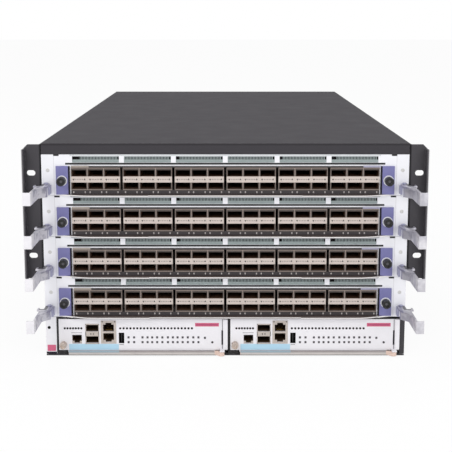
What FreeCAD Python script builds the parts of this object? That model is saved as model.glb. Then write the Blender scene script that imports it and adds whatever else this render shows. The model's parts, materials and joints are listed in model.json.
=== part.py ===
import FreeCAD, Part
import math
import os
import Sketcher
from types import SimpleNamespace

# Modular chassis switch, six rack units high: an enclosure with two rack ears, four front port
# cards, two management modules below them, and two fan modules and four power supplies behind.
# Frame: +X right seen from the front, +Y to the back, +Z up, millimetres. The origin is the middle
# of the case's underside. Every sub-part is drawn in a local frame whose Y = 0 is the front plane
# of the case, and its Placement carries it to its row.

SIZES = {
    # enclosure
    "cover_sheet": 1.5, "pan_sheet": 1.5, "pan_wall": 40, "cage_sheet": 1.2, "rail_height": 13.4,
    "end_zone": 34, "seat": 0.1, "lip_height": 1.2, "cover_foot": 1.4, "backplane_thick": 4,
    "cage_depth": 400, "rear_depth": 322, "sleeve_depth": 120, "mate_gap": 0.3,
    "cage_post": 2, "guide_height": 8, "guide_width": 1.5, "tray_margin": 3.5, "tray_play": 0.5,
    # rows of modules
    "mpu_row": 49.4, "slot_pitch": 50.3, "row_gap": 0.4, "slide_play": 0.4,
    # port banks
    "port_pitch": 19.6, "port_wall": 2.6, "bank_gap": 3.2, "port_height": 7.7, "port_depth": 52,
    "row_low": 9, "row_step": 15, "bank_edge": 3, "lamp_strip": 5.2, "bank_rise": 1.7,
    "bezel_low": 2.2, "bezel_rim": 1.2, "bank_proud": 3, "bezel_proud": 2, "cage_joint": 0.04,
    "aperture_play": 0.3,
    # card faceplate and tray
    "face_sheet": 1.5, "tray_sheet": 1.2, "tray_lift": 0.5, "tray_wall": 14, "card_depth": 384,
    "vent_height": 7.6, "vent_top": 2.2, "vent_bar": 6, "vent_inset": 3, "groove_below": 0.9,
    "groove_height": 1.1, "groove_deep": 0.8, "groove_over": 5.4,
    "ledge_reach": 9.5, "ledge_thick": 1.6, "ledge_over": 15, "ledge_run": 33, "ledge_bend": 60,
    "ledge_step": 1.4, "ledge_middle": 92,
    "notch_over": 16.2, "notch_width": 6.5, "notch_height": 1.8,
    "board_thick": 1.6, "board_inset": 11.5, "post_height": 2.8, "rail_half": 150, "rail_front": 78,
    "rail_width": 5, "rail_pitch": 260,
    "header_width": 60, "header_height": 12, "header_depth": 12, "header_pitch": 120,
    "sink_width": 90, "sink_depth": 80, "sink_height": 20, "sink_base": 5,
    "fin_thick": 2, "fin_pitch": 22, "sink_back": 48,
    # end plates and captive screws
    "plate_gap": 2, "plate_width": 14.5, "plate_high": 36.2,
    "plate_thick": 2, "ring_radius": 6.3, "ring_thick": 1.6, "screw_over": 9.3,
    "screw_height": 18.8, "screw_radius": 2, "running_fit": 0.05, "screw_reach": 5,
    "knob_radius": 5.5, "knob_length": 7.5, "knob_gap": 0.4,
    # ejector levers
    "pivot_inset": 6.4, "pivot_reach": 6.5, "pin_radius": 1.6, "pin_head": 2.8, "pin_cap": 1,
    "lever_sheet": 2, "lever_top": 15.6, "lever_length": 61, "lever_plate": 34,
    "lever_bend": 14, "lever_tab": 6.2, "lever_curl": 3, "lever_nose": 4.6, "lever_foot": 0.6,
    "lever_start": 2.2, "lever_line": 8.8, "claw_reach": 12.4, "claw_depth": 6.5,
    "hinge_gap": 0.3, "bracket_thick": 2.4, "bracket_inset": 11.4, "bracket_low": 3,
    "lug_sheet": 2,
    # rack ears
    "ear_width": 21.3, "ear_thick": 2.3, "ear_bend": 2, "ear_flange": 42, "ear_height": 164.5,
    "ear_drop": 1.5, "ear_chamfer": 5, "ear_lip": 10, "ear_hole_width": 10.5,
    "ear_hole_height": 6.8, "ear_hole_out": 12.55, "ear_hole_pitch": 101.6, "ear_hole_drop": 34.5,
    # management modules
    "end_left": 15.7, "end_right": 6.5, "mpu_gap": 3.4, "mpu_low": 6.9, "mpu_high": 46.2,
    "mpu_depth": 380, "mpu_tray_left": 11, "mpu_tray_inset": 10.2, "mpu_floor": 4.4,
    "mpu_wall": 20, "mpu_post": 9.6, "divider_sheet": 1.5, "divider_inset": 1,
    "jack_wall": 1.2, "jack_depth": 24, "console_at": 16.3, "console_width": 11.8,
    "console_low": 15.9, "console_height": 10.3, "pair_at": 54.4, "pair_width": 13.2,
    "pair_low": 17.2, "pair_height": 11.2, "pair_step": 13.4, "cage_at": 33.4,
    "module_width": 15.2, "module_low": 15.9, "module_height": 8.6, "module_step": 14.6,
    "module_depth": 44, "bus_at": 73.5, "bus_width": 6.7, "bus_low": 15.5, "bus_height": 13.5,
    "bus_depth": 16, "mpu_screw_at": 5.6, "mpu_screw_height": 14, "mpu_knob_radius": 4.4,
    "mpu_knob_length": 6, "column_width": 5.4, "column_proud": 2.2,
    "arm_low": 1.6, "arm_height": 5, "arm_sheet": 1.6, "arm_start": 12, "arm_gap": 0.8,
    "arm_inset": 6.6, "arm_pivot_reach": 5, "arm_nose": 2.9, "arm_pin": 1.2, "arm_lug": 1.6,
    "strip_low": 2, "strip_left_gap": 2.8, "strip_right_gap": 0.4,
    # backplane
    "backplane_margin": 2, "window_height": 22, "window_low": 21, "window_split": 12,
    # rear: fan modules and power supplies
    "psu_row": 44, "psu_height": 40.8, "psu_sheet": 1.2, "psu_end": 2,
    "inlet_width": 30, "inlet_height": 23, "inlet_depth": 14, "inlet_at": 24,
    "psu_fan": 16, "psu_fan_depth": 6, "handle_wire": 2.2, "handle_width": 16,
    "handle_reach": 24, "fan_handle": 60,
    "fan_depth": 100, "fan_duct": 88, "fan_tip": 84, "fan_hub": 38,
    "fan_shaft": 4, "rotor_depth": 36, "rotor_at": 40, "spider_width": 9, "spider_depth": 8,
    "spider_hub": 25, "blade_root": 33, "blade_deep": 28, "blade_rise": 30, "blade_camber": 5,
    "blade_thick": 2.4, "grille_frame": 6, "grille_bar": 2.5, "grille_depth": 2.2,
    "case_screw": 3.2, "case_screw_head": 1.2, "ear_screw_step": 120, "screw_step": 240,
}
SLOTS = 4
PORTS = 3
BANKS = 6
BLADES = 7
SUPPLIES = 4
FINS = 5
GRILLE_ROWS = 6
GRILLE_COLUMNS = 2


class Length:
    """A size in millimetres with the spreadsheet expression that it comes from."""

    def __init__(self, value, text):
        self.value, self.text = float(value), text

    def _join(self, sign, other, value, flip=False):
        left, right = (other, self.text) if flip else (self.text, other)
        return Length(value, f"({left} {sign} {right})")

    def __add__(self, other):
        other = length(other)
        return self._join("+", other.text, self.value + other.value)

    def __sub__(self, other):
        other = length(other)
        return self._join("-", other.text, self.value - other.value)

    def __mul__(self, number):
        number = length(number)
        return self._join("*", number.text, self.value * number.value)

    def __truediv__(self, number):
        number = length(number)
        return self._join("/", number.text, self.value / number.value)

    def __neg__(self):
        return Length(-self.value, f"(0 - {self.text})")

    def __radd__(self, other):
        return length(other) + self

    def __rsub__(self, other):
        return length(other) - self

    __rmul__ = __mul__


def length(size):
    return size if isinstance(size, Length) else Length(size, repr(float(size)))


doc = FreeCAD.newDocument("modular_chassis_switch")
sheet = doc.addObject("Spreadsheet::Sheet", "sizes")
for row, (alias, size) in enumerate(SIZES.items(), start=1):
    sheet.set(f"A{row}", alias)
    sheet.set(f"B{row}", str(size))
    sheet.setAlias(f"B{row}", alias)
doc.recompute()
D = SimpleNamespace(**{alias: Length(sheet.get(alias), f"sizes.{alias}") for alias in SIZES})

# Sizes that follow from the driving ones.
bank_pitch = D.port_pitch * PORTS + D.bank_gap
bank_half = bank_pitch * (BANKS / 2)
half_width = bank_half + D.end_zone
case_depth = D.cage_depth + D.backplane_thick + D.mate_gap + D.rear_depth
slots_top = D.mpu_row + D.slot_pitch * SLOTS
case_height = slots_top + D.rail_height
pan_half = half_width - D.cover_sheet - D.seat
cage_half = pan_half - D.pan_sheet - D.seat
tray_half = bank_half + D.tray_margin
cage_low = D.pan_sheet + D.seat
cage_top = case_height - D.cover_sheet - D.seat
bay_half = cage_half - D.cage_sheet
screw_x = bank_half + D.screw_over
pivot_x = half_width - D.pivot_inset
port_top = D.row_low + D.row_step + D.port_height
bezel_high = port_top + D.bank_edge + D.bezel_rim
bank_low = D.row_low - D.bank_rise
board_low = D.tray_lift + D.tray_sheet + D.post_height
board_high = board_low + D.board_thick
mpu_width = (half_width * 2 - D.end_left - D.mpu_gap - D.end_right) / 2
mpu_x = [D.end_left - half_width, D.end_left - half_width + mpu_width + D.mpu_gap]
arm_x = mpu_width - D.arm_inset
psu_pitch = (bay_half * 2 + D.cage_sheet) / SUPPLIES
fan_low = D.psu_row + D.cage_sheet + D.slide_play
fan_height = cage_top - D.cage_sheet - D.slide_play - fan_low
fan_width = bay_half - D.cage_sheet / 2 - D.slide_play * 2
fan_x = D.cage_sheet / 2 + D.slide_play + fan_width / 2
fan_z = fan_low + fan_height / 2
parts = []


def bind(item, prop, size):
    """Ties one property of an object to its expression."""
    item.setExpression(prop, length(size).text)


def body(label, x=0, y=0, z=0):
    """A new sub-part, carried to its place from the case's front plane."""
    item = doc.addObject("PartDesign::Body", label)
    item.Label = label
    item.AllowCompound = True
    bind(item, ".Placement.Base.x", x)
    bind(item, ".Placement.Base.y", length(y) - case_depth / 2)
    bind(item, ".Placement.Base.z", z)
    parts.append(item)
    return item


def origin_plane(item, role):
    return next(plane for plane in item.Origin.OriginFeatures if plane.Role == role)


PLANES = {"front": "XZ_Plane", "top": "XY_Plane", "side": "YZ_Plane"}


def sketch(item, view, offset):
    """A sketch on the front, top or side plane, moved along that plane's normal."""
    new = item.newObject("Sketcher::SketchObject", f"{item.Label}_{view}")
    new.AttachmentSupport = [(origin_plane(item, PLANES[view]), "")]
    new.MapMode = "FlatFace"
    bind(new, ".AttachmentOffset.Base.z", offset)
    return new


def add_outline(new, corners):
    """A closed outline whose corners are dimensioned from the sketch's origin."""
    corners = [(length(x), length(y)) for x, y in corners]
    points = [FreeCAD.Vector(x.value, y.value, 0) for x, y in corners]
    first = new.GeometryCount
    for index, point in enumerate(points):
        new.addGeometry(Part.LineSegment(point, points[(index + 1) % len(points)]), False)
    for index, (x, y) in enumerate(corners):
        line, following = first + index, first + (index + 1) % len(points)
        new.addConstraint(Sketcher.Constraint("Coincident", line, 2, following, 1))
        for kind, size in (("DistanceX", x), ("DistanceY", y)):
            count = new.addConstraint(Sketcher.Constraint(kind, -1, 1, line, 1, size.value))
            bind(new, f"Constraints[{count}]", size)


def rectangle(x0, y0, x1, y1):
    return [(x0, y0), (x1, y0), (x1, y1), (x0, y1)]


def shaft(x, y, radius, sides=8):
    """Corners of a faceted shaft that fits inside a circle."""
    turns = [2 * math.pi * (corner + 0.5) / sides for corner in range(sides)]
    return [(length(radius) * math.cos(turn) + x, length(radius) * math.sin(turn) + y)
            for turn in turns]


def bore(x, y, radius, sides=8):
    """Corners of a faceted bore that a circle fits inside."""
    return shaft(x, y, length(radius) / math.cos(math.pi / sides), sides)


def add_circle(new, x, y, radius):
    x, y, radius = length(x), length(y), length(radius)
    centre = FreeCAD.Vector(x.value, y.value, 0)
    circle = new.addGeometry(Part.Circle(centre, FreeCAD.Vector(0, 0, 1), radius.value), False)
    for kind, size in (("DistanceX", x), ("DistanceY", y)):
        count = new.addConstraint(Sketcher.Constraint(kind, -1, 1, circle, 3, size.value))
        bind(new, f"Constraints[{count}]", size)
    count = new.addConstraint(Sketcher.Constraint("Radius", circle, radius.value))
    bind(new, f"Constraints[{count}]", radius)


def draw(item, view, offset, shapes):
    """A sketch of outlines, given as lists of corners, and circles, given as (x, y, radius)."""
    new = sketch(item, view, offset)
    for shape in shapes:
        if isinstance(shape, tuple):
            add_circle(new, *shape)
        else:
            add_outline(new, shape)
    return new


def pad(item, view, start, end, *shapes):
    """Material from start to end along Y (front view), Z (top view) or X (side view)."""
    start, end = length(start), length(end)
    offset = -end if view == "front" else start
    new = item.newObject("PartDesign::Pad", f"{item.Label}_pad")
    new.Profile = draw(item, view, offset, shapes)
    bind(new, "Length", end - start)
    item.Tip = new
    return new


def cut(item, view, start, end, *shapes):
    """A pocket from start to end along Y (front view), Z (top view) or X (side view)."""
    start, end = length(start), length(end)
    offset = -start if view == "front" else end
    new = item.newObject("PartDesign::Pocket", f"{item.Label}_pocket")
    new.Profile = draw(item, view, offset, shapes)
    bind(new, "Length", end - start)
    item.Tip = new
    return new


def row(item, feature, axis, pitch, count):
    """Repeats a feature count times along its sketch's H_Axis or V_Axis."""
    new = item.newObject("PartDesign::LinearPattern", f"{item.Label}_row")
    new.Originals = [feature]
    new.Direction = (feature.Profile[0], [axis])
    bind(new, "Length", length(pitch) * (count - 1))
    new.Occurrences = count
    item.Tip = new
    return new


def grid(item, feature, *directions):
    """Repeats a feature along several directions, each an axis, a pitch and a count."""
    new = item.newObject("PartDesign::MultiTransform", f"{item.Label}_grid")
    new.Originals = [feature]
    steps = []
    for axis, pitch, count in directions:
        step = item.newObject("PartDesign::LinearPattern", f"{item.Label}_step")
        step.Direction = (feature.Profile[0], [axis])
        bind(step, "Length", length(pitch) * (count - 1))
        step.Occurrences = count
        steps.append(step)
    new.Transformations = steps
    item.Tip = new
    return new


def bevel(item, kind, size, wanted):
    """Rounds or chamfers the edges that the wanted test picks."""
    doc.recompute()
    base = item.Tip
    edges = [f"Edge{n}" for n, edge in enumerate(base.Shape.Edges, start=1) if wanted(edge)]
    new = item.newObject(f"PartDesign::{kind}", f"{item.Label}_{kind.lower()}")
    new.Base = (base, edges)
    bind(new, "Radius" if kind == "Fillet" else "Size", size)
    item.Tip = new
    return new


def along(edge, axis):
    """True for a straight edge that runs along an axis."""
    ends = edge.Vertexes
    if len(ends) != 2 or not isinstance(edge.Curve, Part.Line):
        return False
    run = ends[1].Point - ends[0].Point
    return abs(abs(getattr(run, axis)) - run.Length) < 1e-6


def near(edge, axis, value):
    return abs(getattr(edge.CenterOfMass, axis) - length(value).value) < 1e-3


# ---------------------------------------------------------------- enclosure

def top_cover():
    """Wrap-around cover: top and both sides folded from one sheet, with a front rail."""
    item = body("top_cover")
    inner, under = half_width - D.cover_sheet, case_height - D.cover_sheet
    pad(item, "front", 0, case_depth, [
        (-half_width, D.cover_foot), (-half_width, case_height), (half_width, case_height),
        (half_width, D.cover_foot), (inner, D.cover_foot), (inner, under), (-inner, under),
        (-inner, D.cover_foot)])
    pad(item, "front", -D.face_sheet, 0,
        rectangle(-half_width, slots_top + D.row_gap / 2, half_width, case_height))


def lower_pan():
    """Base pan: the floor, two low side walls inside the cover, and a front lip."""
    item = body("lower_pan")
    inner = pan_half - D.pan_sheet
    pad(item, "front", 0, case_depth, [
        (-pan_half, 0), (pan_half, 0), (pan_half, D.pan_wall), (inner, D.pan_wall),
        (inner, D.pan_sheet), (-inner, D.pan_sheet), (-inner, D.pan_wall),
        (-pan_half, D.pan_wall)])
    pad(item, "front", -D.face_sheet, 0, rectangle(-half_width, 0, half_width, D.lip_height))


def card_cage():
    """Cage of shelves with front posts, guide ribs and the holes of the captive screws."""
    item = body("card_cage")
    depth, sheet_, post = D.cage_depth, D.cage_sheet, D.cage_post
    pad(item, "front", 0, depth, rectangle(-cage_half, cage_low, cage_half, cage_top))
    guide_in = tray_half + D.tray_play
    slot_high = D.mpu_row + D.slot_pitch - sheet_
    # each slot narrows to the front posts, and widens behind them except at its guide ribs
    rib = guide_in + D.guide_width
    mouth = cut(item, "front", 0, post, rectangle(-guide_in, D.mpu_row, guide_in, slot_high))
    row(item, mouth, "V_Axis", D.slot_pitch, SLOTS)
    bay = cut(item, "front", post, depth, [
        (-guide_in, D.mpu_row), (guide_in, D.mpu_row), (guide_in, D.mpu_row + D.guide_height),
        (rib, D.mpu_row + D.guide_height), (rib, D.mpu_row), (bay_half, D.mpu_row),
        (bay_half, slot_high), (-bay_half, slot_high), (-bay_half, D.mpu_row),
        (-rib, D.mpu_row), (-rib, D.mpu_row + D.guide_height),
        (-guide_in, D.mpu_row + D.guide_height)])
    row(item, bay, "V_Axis", D.slot_pitch, SLOTS)
    cut(item, "front", post, depth, rectangle(-bay_half, slots_top, bay_half, cage_top - sheet_))
    # management row: a bay for each module, with a post for its captive screw
    low, high = cage_low + sheet_, D.mpu_row - sheet_
    wall = mpu_x[1] - D.divider_inset
    cut(item, "front", 0, post,
        rectangle(mpu_x[0] + D.mpu_post, low, wall - D.divider_sheet, high),
        rectangle(mpu_x[1] + D.mpu_post, low, bay_half, high))
    cut(item, "front", post, depth, rectangle(-bay_half, low, wall - D.divider_sheet, high),
        rectangle(wall, low, bay_half, high))
    hole = D.screw_radius + D.running_fit
    holes = cut(item, "front", 0, post, bore(screw_x, D.mpu_row + D.screw_height, hole),
                bore(-screw_x, D.mpu_row + D.screw_height, hole))
    row(item, holes, "V_Axis", D.slot_pitch, SLOTS)
    cut(item, "front", 0, post, *[bore(x + D.mpu_screw_at, D.mpu_screw_height, hole)
                                  for x in mpu_x])


def end_strips():
    """Cover strips at both ends of the management row."""
    high = D.mpu_row - D.row_gap
    left = body("end_strip_left")
    pad(left, "front", -D.face_sheet, 0,
        rectangle(-half_width, D.strip_low, mpu_x[0] - D.strip_left_gap, high))
    right = body("end_strip_right")
    pad(right, "front", -D.face_sheet, 0,
        rectangle(mpu_x[1] + mpu_width + D.strip_right_gap, D.strip_low, half_width, high))


def backplane():
    """Midplane board with a row of header blocks and two air windows for each slot."""
    item = body("backplane")
    y0, y1 = D.cage_depth, D.cage_depth + D.backplane_thick
    half, margin, split = cage_half - D.backplane_margin, D.backplane_margin, D.window_split / 2
    pad(item, "front", y0, y1, rectangle(-half, cage_low + margin, half, cage_top - margin))
    low, high = D.mpu_row + D.window_low, D.mpu_row + D.window_low + D.window_height
    window = cut(item, "front", y0, y1, rectangle(-tray_half, low, -split, high),
                 rectangle(split, low, tray_half, high))
    row(item, window, "V_Axis", D.slot_pitch, SLOTS)
    left, base = -D.header_pitch - D.header_width / 2, D.mpu_row + board_high
    header = pad(item, "front", y0 - D.header_depth, y0,
                 rectangle(left, base, left + D.header_width, base + D.header_height))
    grid(item, header, ("H_Axis", D.header_pitch, 3), ("V_Axis", D.slot_pitch, SLOTS))


def rear_sleeve():
    """Sleeve at the back: four power supply bays below two fan bays."""
    item = body("rear_sleeve")
    y0, y1, sheet_ = case_depth - D.sleeve_depth, case_depth, D.cage_sheet
    pad(item, "front", y0, y1, rectangle(-cage_half, cage_low, cage_half, cage_top))
    supply = cut(item, "front", y0, y1, rectangle(
        -bay_half, cage_low + sheet_, psu_pitch - bay_half - sheet_, D.psu_row))
    row(item, supply, "H_Axis", psu_pitch, SUPPLIES)
    low, high = D.psu_row + sheet_, cage_top - sheet_
    cut(item, "front", y0, y1, rectangle(-bay_half, low, -sheet_ / 2, high),
        rectangle(sheet_ / 2, low, bay_half, high))


def rack_ear(label, side):
    """Folded rack bracket: a rounded bend, a forward lip, two slots and a clipped top corner."""
    item = body(label)
    inner, outer = half_width * side, (half_width + D.ear_width) * side
    front, back = -D.face_sheet, D.ear_thick - D.face_sheet
    wall = inner + D.ear_thick * side
    top = case_height - D.ear_drop
    low = top - D.ear_height
    pad(item, "top", low, top, [
        (inner, front), (outer, front), (outer, back), (wall, back), (wall, D.ear_flange),
        (inner, D.ear_flange)])
    bevel(item, "Fillet", D.ear_bend + D.ear_thick,
          lambda edge: along(edge, "z") and near(edge, "x", inner) and near(edge, "y", front))
    bevel(item, "Fillet", D.ear_bend,
          lambda edge: along(edge, "z") and near(edge, "x", wall) and near(edge, "y", back))
    bevel(item, "Chamfer", D.ear_chamfer,
          lambda edge: along(edge, "y") and near(edge, "x", outer) and near(edge, "z", top))
    pad(item, "top", low, top - D.ear_chamfer,
        rectangle(outer - D.ear_thick * side, front - D.ear_lip, outer, front))
    # each slot is a rectangle between two round ends
    radius = D.ear_hole_height / 2
    middle, half = (half_width + D.ear_hole_out) * side, (D.ear_hole_width / 2 - radius)
    for height in (top - D.ear_hole_drop, top - D.ear_hole_drop - D.ear_hole_pitch):
        cut(item, "front", front, back,
            rectangle(middle - half, height - radius, middle + half, height + radius))
        cut(item, "front", front, back, (middle - half, height, radius))
        cut(item, "front", front, back, (middle + half, height, radius))


def case_screws():
    """Low heads of the screws that hold the cover to the pan and the ears to the cover."""
    item = body("case_screws")
    middle = case_height - D.ear_drop - D.ear_height / 2
    for side in (1, -1):
        for face, y, z, axis, step, count in (
                (half_width + D.ear_thick, D.ear_flange * 3 / 4, middle - D.ear_screw_step / 2,
                 "V_Axis", D.ear_screw_step, 2),
                (half_width, D.screw_step / 2, D.pan_wall / 2, "H_Axis", D.screw_step, 3)):
            head = face + D.case_screw_head
            ends = (face, head) if side > 0 else (-head, -face)
            first = pad(item, "side", *ends, shaft(y, z, D.case_screw, 6))
            row(item, first, axis, step, count)


# ---------------------------------------------------------------- port cards

def card_panel(index, z):
    """Folded card carrier: faceplate, tray, front ledge and the two lever brackets."""
    item = body(f"card_{index}_panel", 0, 0, z)
    low, high = D.row_gap / 2, D.slot_pitch - D.row_gap / 2
    front = -D.face_sheet
    pad(item, "front", front, 0, rectangle(-half_width, low, half_width, high))
    tray, floor, inner = D.tray_lift, D.tray_lift + D.tray_sheet, tray_half - D.tray_sheet
    pad(item, "front", 0, D.card_depth, [
        (-tray_half, tray), (tray_half, tray), (tray_half, D.tray_wall), (inner, D.tray_wall),
        (inner, floor), (-inner, floor), (-inner, D.tray_wall), (-tray_half, D.tray_wall)])
    # ledge below the ports, with a curved run-out at both ends and a shallower middle
    reach = front - D.ledge_reach
    end = bank_half + D.ledge_over
    pad(item, "top", low, low + D.ledge_thick, [
        (-end, front), (D.ledge_run - end, reach), (-D.ledge_middle, reach),
        (-D.ledge_middle, reach + D.ledge_step), (D.ledge_middle, reach + D.ledge_step),
        (D.ledge_middle, reach), (end - D.ledge_run, reach), (end, front)])
    bevel(item, "Fillet", D.ledge_bend,
          lambda edge: along(edge, "z") and near(edge, "y", reach)
          and abs(edge.CenterOfMass.x) > D.ledge_middle.value + 1)
    # air windows, the groove below them, and the opening of the port banks
    half = bank_half - D.vent_inset
    bars = BANKS - 1
    window = (half * 2 - D.vent_bar * bars) / BANKS
    vent = high - D.vent_top
    opening = cut(item, "front", front, 0,
                  rectangle(-half, vent - D.vent_height, window - half, vent))
    row(item, opening, "H_Axis", window + D.vent_bar, BANKS)
    groove, groove_high = bank_half + D.groove_over, vent - D.vent_height - D.groove_below
    cut(item, "front", front, front + D.groove_deep,
        rectangle(-groove, groove_high - D.groove_height, groove, groove_high))
    port = bank_half + D.aperture_play - D.bank_gap / 2
    cut(item, "front", front, 0, rectangle(-port, D.bezel_low - D.aperture_play, port,
                                           bezel_high + D.aperture_play))
    for side in (1, -1):
        middle = (bank_half + D.notch_over) * side
        cut(item, "front", front, 0, rectangle(middle - D.notch_width / 2, high - D.notch_height,
                                               middle + D.notch_width / 2, high))
        cut(item, "front", front, 0, bore(screw_x * side, D.screw_height,
                                          D.screw_radius + D.running_fit))
    # two cross rails that carry the board
    rail = pad(item, "top", floor, board_low, rectangle(
        -D.rail_half, D.rail_front, D.rail_half, D.rail_front + D.rail_width))
    row(item, rail, "V_Axis", D.rail_pitch, 2)
    # lever brackets: an upright leg on the faceplate and a lug below the lever, with its pin
    under = D.lever_top - D.lever_sheet - D.hinge_gap
    head = D.lever_top + D.hinge_gap
    pivot = front - D.pivot_reach
    for side in (1, -1):
        near_x = (half_width - D.bracket_inset) * side
        far_x, centre = near_x + D.bracket_thick * side, pivot_x * side
        pad(item, "front", pivot - D.pin_head, front,
            rectangle(near_x, D.bracket_low, far_x, under))
        pad(item, "top", under - D.lug_sheet, under,
            rectangle(near_x, pivot - D.pin_head, centre + D.pin_head * side, front))
        pad(item, "top", under, head, shaft(centre, pivot, D.pin_radius))
        pad(item, "top", head, head + D.pin_cap, shaft(centre, pivot, D.pin_head))


def card_board(index, z):
    """Card's circuit board with three finned heat sinks and its rear headers."""
    item = body(f"card_{index}_board", 0, 0, z)
    half = tray_half - D.board_inset
    y0 = D.port_depth + D.cage_joint + D.cage_sheet + D.seat
    y1 = D.cage_depth - D.header_depth - D.mate_gap
    pad(item, "top", board_low, board_high, rectangle(-half, y0, half, y1))
    left, base = -D.header_pitch - D.header_width / 2, board_high
    header = pad(item, "front", y1 - D.header_depth, y1,
                 rectangle(left, base, left + D.header_width, base + D.header_height))
    row(item, header, "H_Axis", D.header_pitch, 3)
    back = y1 - D.sink_back
    left = -D.header_pitch - D.sink_width / 2
    # a sink's profile is its base with the fins standing on it
    top, foot = base + D.sink_height, base + D.sink_base
    profile = [(left, base), (left + D.sink_width, base)]
    for fin in reversed(range(FINS)):
        start = left + D.fin_pitch * fin
        profile += [(start + D.fin_thick, foot)] if fin < FINS - 1 else []
        profile += [(start + D.fin_thick, top), (start, top)]
        profile += [(start, foot)] if fin else []
    sink = pad(item, "front", back - D.sink_depth, back, profile)
    row(item, sink, "H_Axis", D.header_pitch, 3)


def card_ports(index, z):
    """Six banks of stacked port cages: floors, roofs, septa, spacers and the rear wall."""
    item = body(f"card_{index}_ports", 0, 0, z)
    gap, back = D.cage_joint, D.port_depth
    face, recess = -D.face_sheet - D.bank_proud, -D.face_sheet - D.bezel_proud
    full = bank_half - D.bank_gap / 2
    low, high = D.row_low, port_top
    # lamp strip below the ports, rim above them, rear wall behind
    pad(item, "front", recess, back, rectangle(-full, D.bezel_low, full, bank_low - gap),
        rectangle(-full, high + D.bank_edge + gap, full, bezel_high))
    pad(item, "front", back + gap, back + gap + D.cage_sheet,
        rectangle(-full, bank_low, full, high + D.bank_edge))
    # floor, roof and outer septa of a bank
    bank, half = D.port_pitch * PORTS, D.port_wall / 2
    shell = pad(item, "front", face, back,
                rectangle(gap - full, bank_low, bank - full - gap, low - gap),
                rectangle(gap - full, high + gap, bank - full - gap, high + D.bank_edge),
                rectangle(gap - full, low, half - full, high),
                rectangle(bank - full - half, low, bank - full - gap, high))
    row(item, shell, "H_Axis", bank_pitch, BANKS)
    inner = pad(item, "front", face, back, rectangle(
        D.port_pitch - full - half, low, D.port_pitch - full + half, high))
    grid(item, inner, ("H_Axis", D.port_pitch, PORTS - 1), ("H_Axis", bank_pitch, BANKS))
    # spacer between the two rows, one for each pair of ports
    spacer = pad(item, "front", face, back, rectangle(
        half - full + gap, low + D.port_height, D.port_pitch - full - half - gap,
        low + D.row_step))
    grid(item, spacer, ("H_Axis", D.port_pitch, PORTS), ("H_Axis", bank_pitch, BANKS))


def end_plates(index, z):
    """Two coloured end plates, each with the ring that its captive screw sits in."""
    item = body(f"card_{index}_end_plates", 0, 0, z)
    back = -D.face_sheet
    face = back - D.plate_thick
    low = D.row_gap / 2 + D.ledge_thick
    for side in (1, -1):
        inner = (bank_half + D.plate_gap) * side
        pad(item, "front", face, back,
            rectangle(inner, low, inner + D.plate_width * side, D.plate_high))
        pad(item, "front", face - D.ring_thick, face,
            shaft(screw_x * side, D.screw_height, D.ring_radius, 16))
        cut(item, "front", face - D.ring_thick, back,
            bore(screw_x * side, D.screw_height, D.screw_radius + D.running_fit))


def captive_screw(label, x, z, seat_face, knob_radius, knob_length):
    """Captive thumb screw: a faceted knob on a shank that passes into the case's post."""
    item = body(label, x, 0, z)
    head = seat_face - D.knob_gap
    pad(item, "front", head, D.screw_reach, shaft(0, 0, D.screw_radius))
    pad(item, "front", head - knob_length, head, shaft(0, 0, knob_radius, 12))


def ejector_lever(index, label, side, z):
    """Folded ejector lever: claw plate on the pivot, a cranked blade and a turned-out tab."""
    item = body(f"card_{index}_lever_{label}", pivot_x * side, -D.face_sheet - D.pivot_reach, z)
    sheet_, nose, bend = D.lever_sheet, D.lever_nose, D.lever_bend
    tip = D.pivot_reach - D.lever_length
    start, line = -D.lever_start, D.lever_line
    tab, curl = line + D.lever_tab, sheet_ / 2
    blade = [(start, -nose), (start + sheet_, -nose), (line, -bend), (line, tip + sheet_),
             (tab, tip + sheet_), (tab, tip + D.lever_curl), (tab + curl, tip + D.lever_curl),
             (tab + curl, tip), (line - sheet_, tip), (line - sheet_, -bend)]
    pad(item, "top", D.lever_foot, D.lever_top, [(x * side, y) for x, y in blade])
    # claw plate round the pivot
    claw, mouth = D.claw_reach, bend * 3 / 4
    plate = [(-nose, 0), (-nose, -bend), (line - sheet_, -D.lever_plate), (line, -D.lever_plate),
             (line, -bend), (claw, -bend), (claw, -D.claw_depth), (claw - sheet_, -D.claw_depth),
             (claw - sheet_, -mouth), (nose, -mouth), (nose, 0)]
    pad(item, "top", D.lever_top - sheet_, D.lever_top, [(x * side, y) for x, y in plate])
    pad(item, "top", D.lever_top - sheet_, D.lever_top, shaft(0, 0, nose, 12))
    cut(item, "top", D.lever_top - sheet_, D.lever_top,
        bore(0, 0, D.pin_radius + D.running_fit))


# ---------------------------------------------------------------- management modules

def mpu_sockets():
    """Openings of a management module from left to right.

    Each has its left edge, width, lower edge, height, depth and the rise to the one above it.
    """
    return (
        (D.console_at, D.console_width, D.console_low, D.console_height, D.jack_depth, None),
        (D.cage_at, D.module_width, D.module_low, D.module_height, D.module_depth,
         D.module_step),
        (D.pair_at, D.pair_width, D.pair_low, D.pair_height, D.jack_depth, D.pair_step),
        (D.bus_at, D.bus_width, D.bus_low, D.bus_height, D.bus_depth, None))


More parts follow.
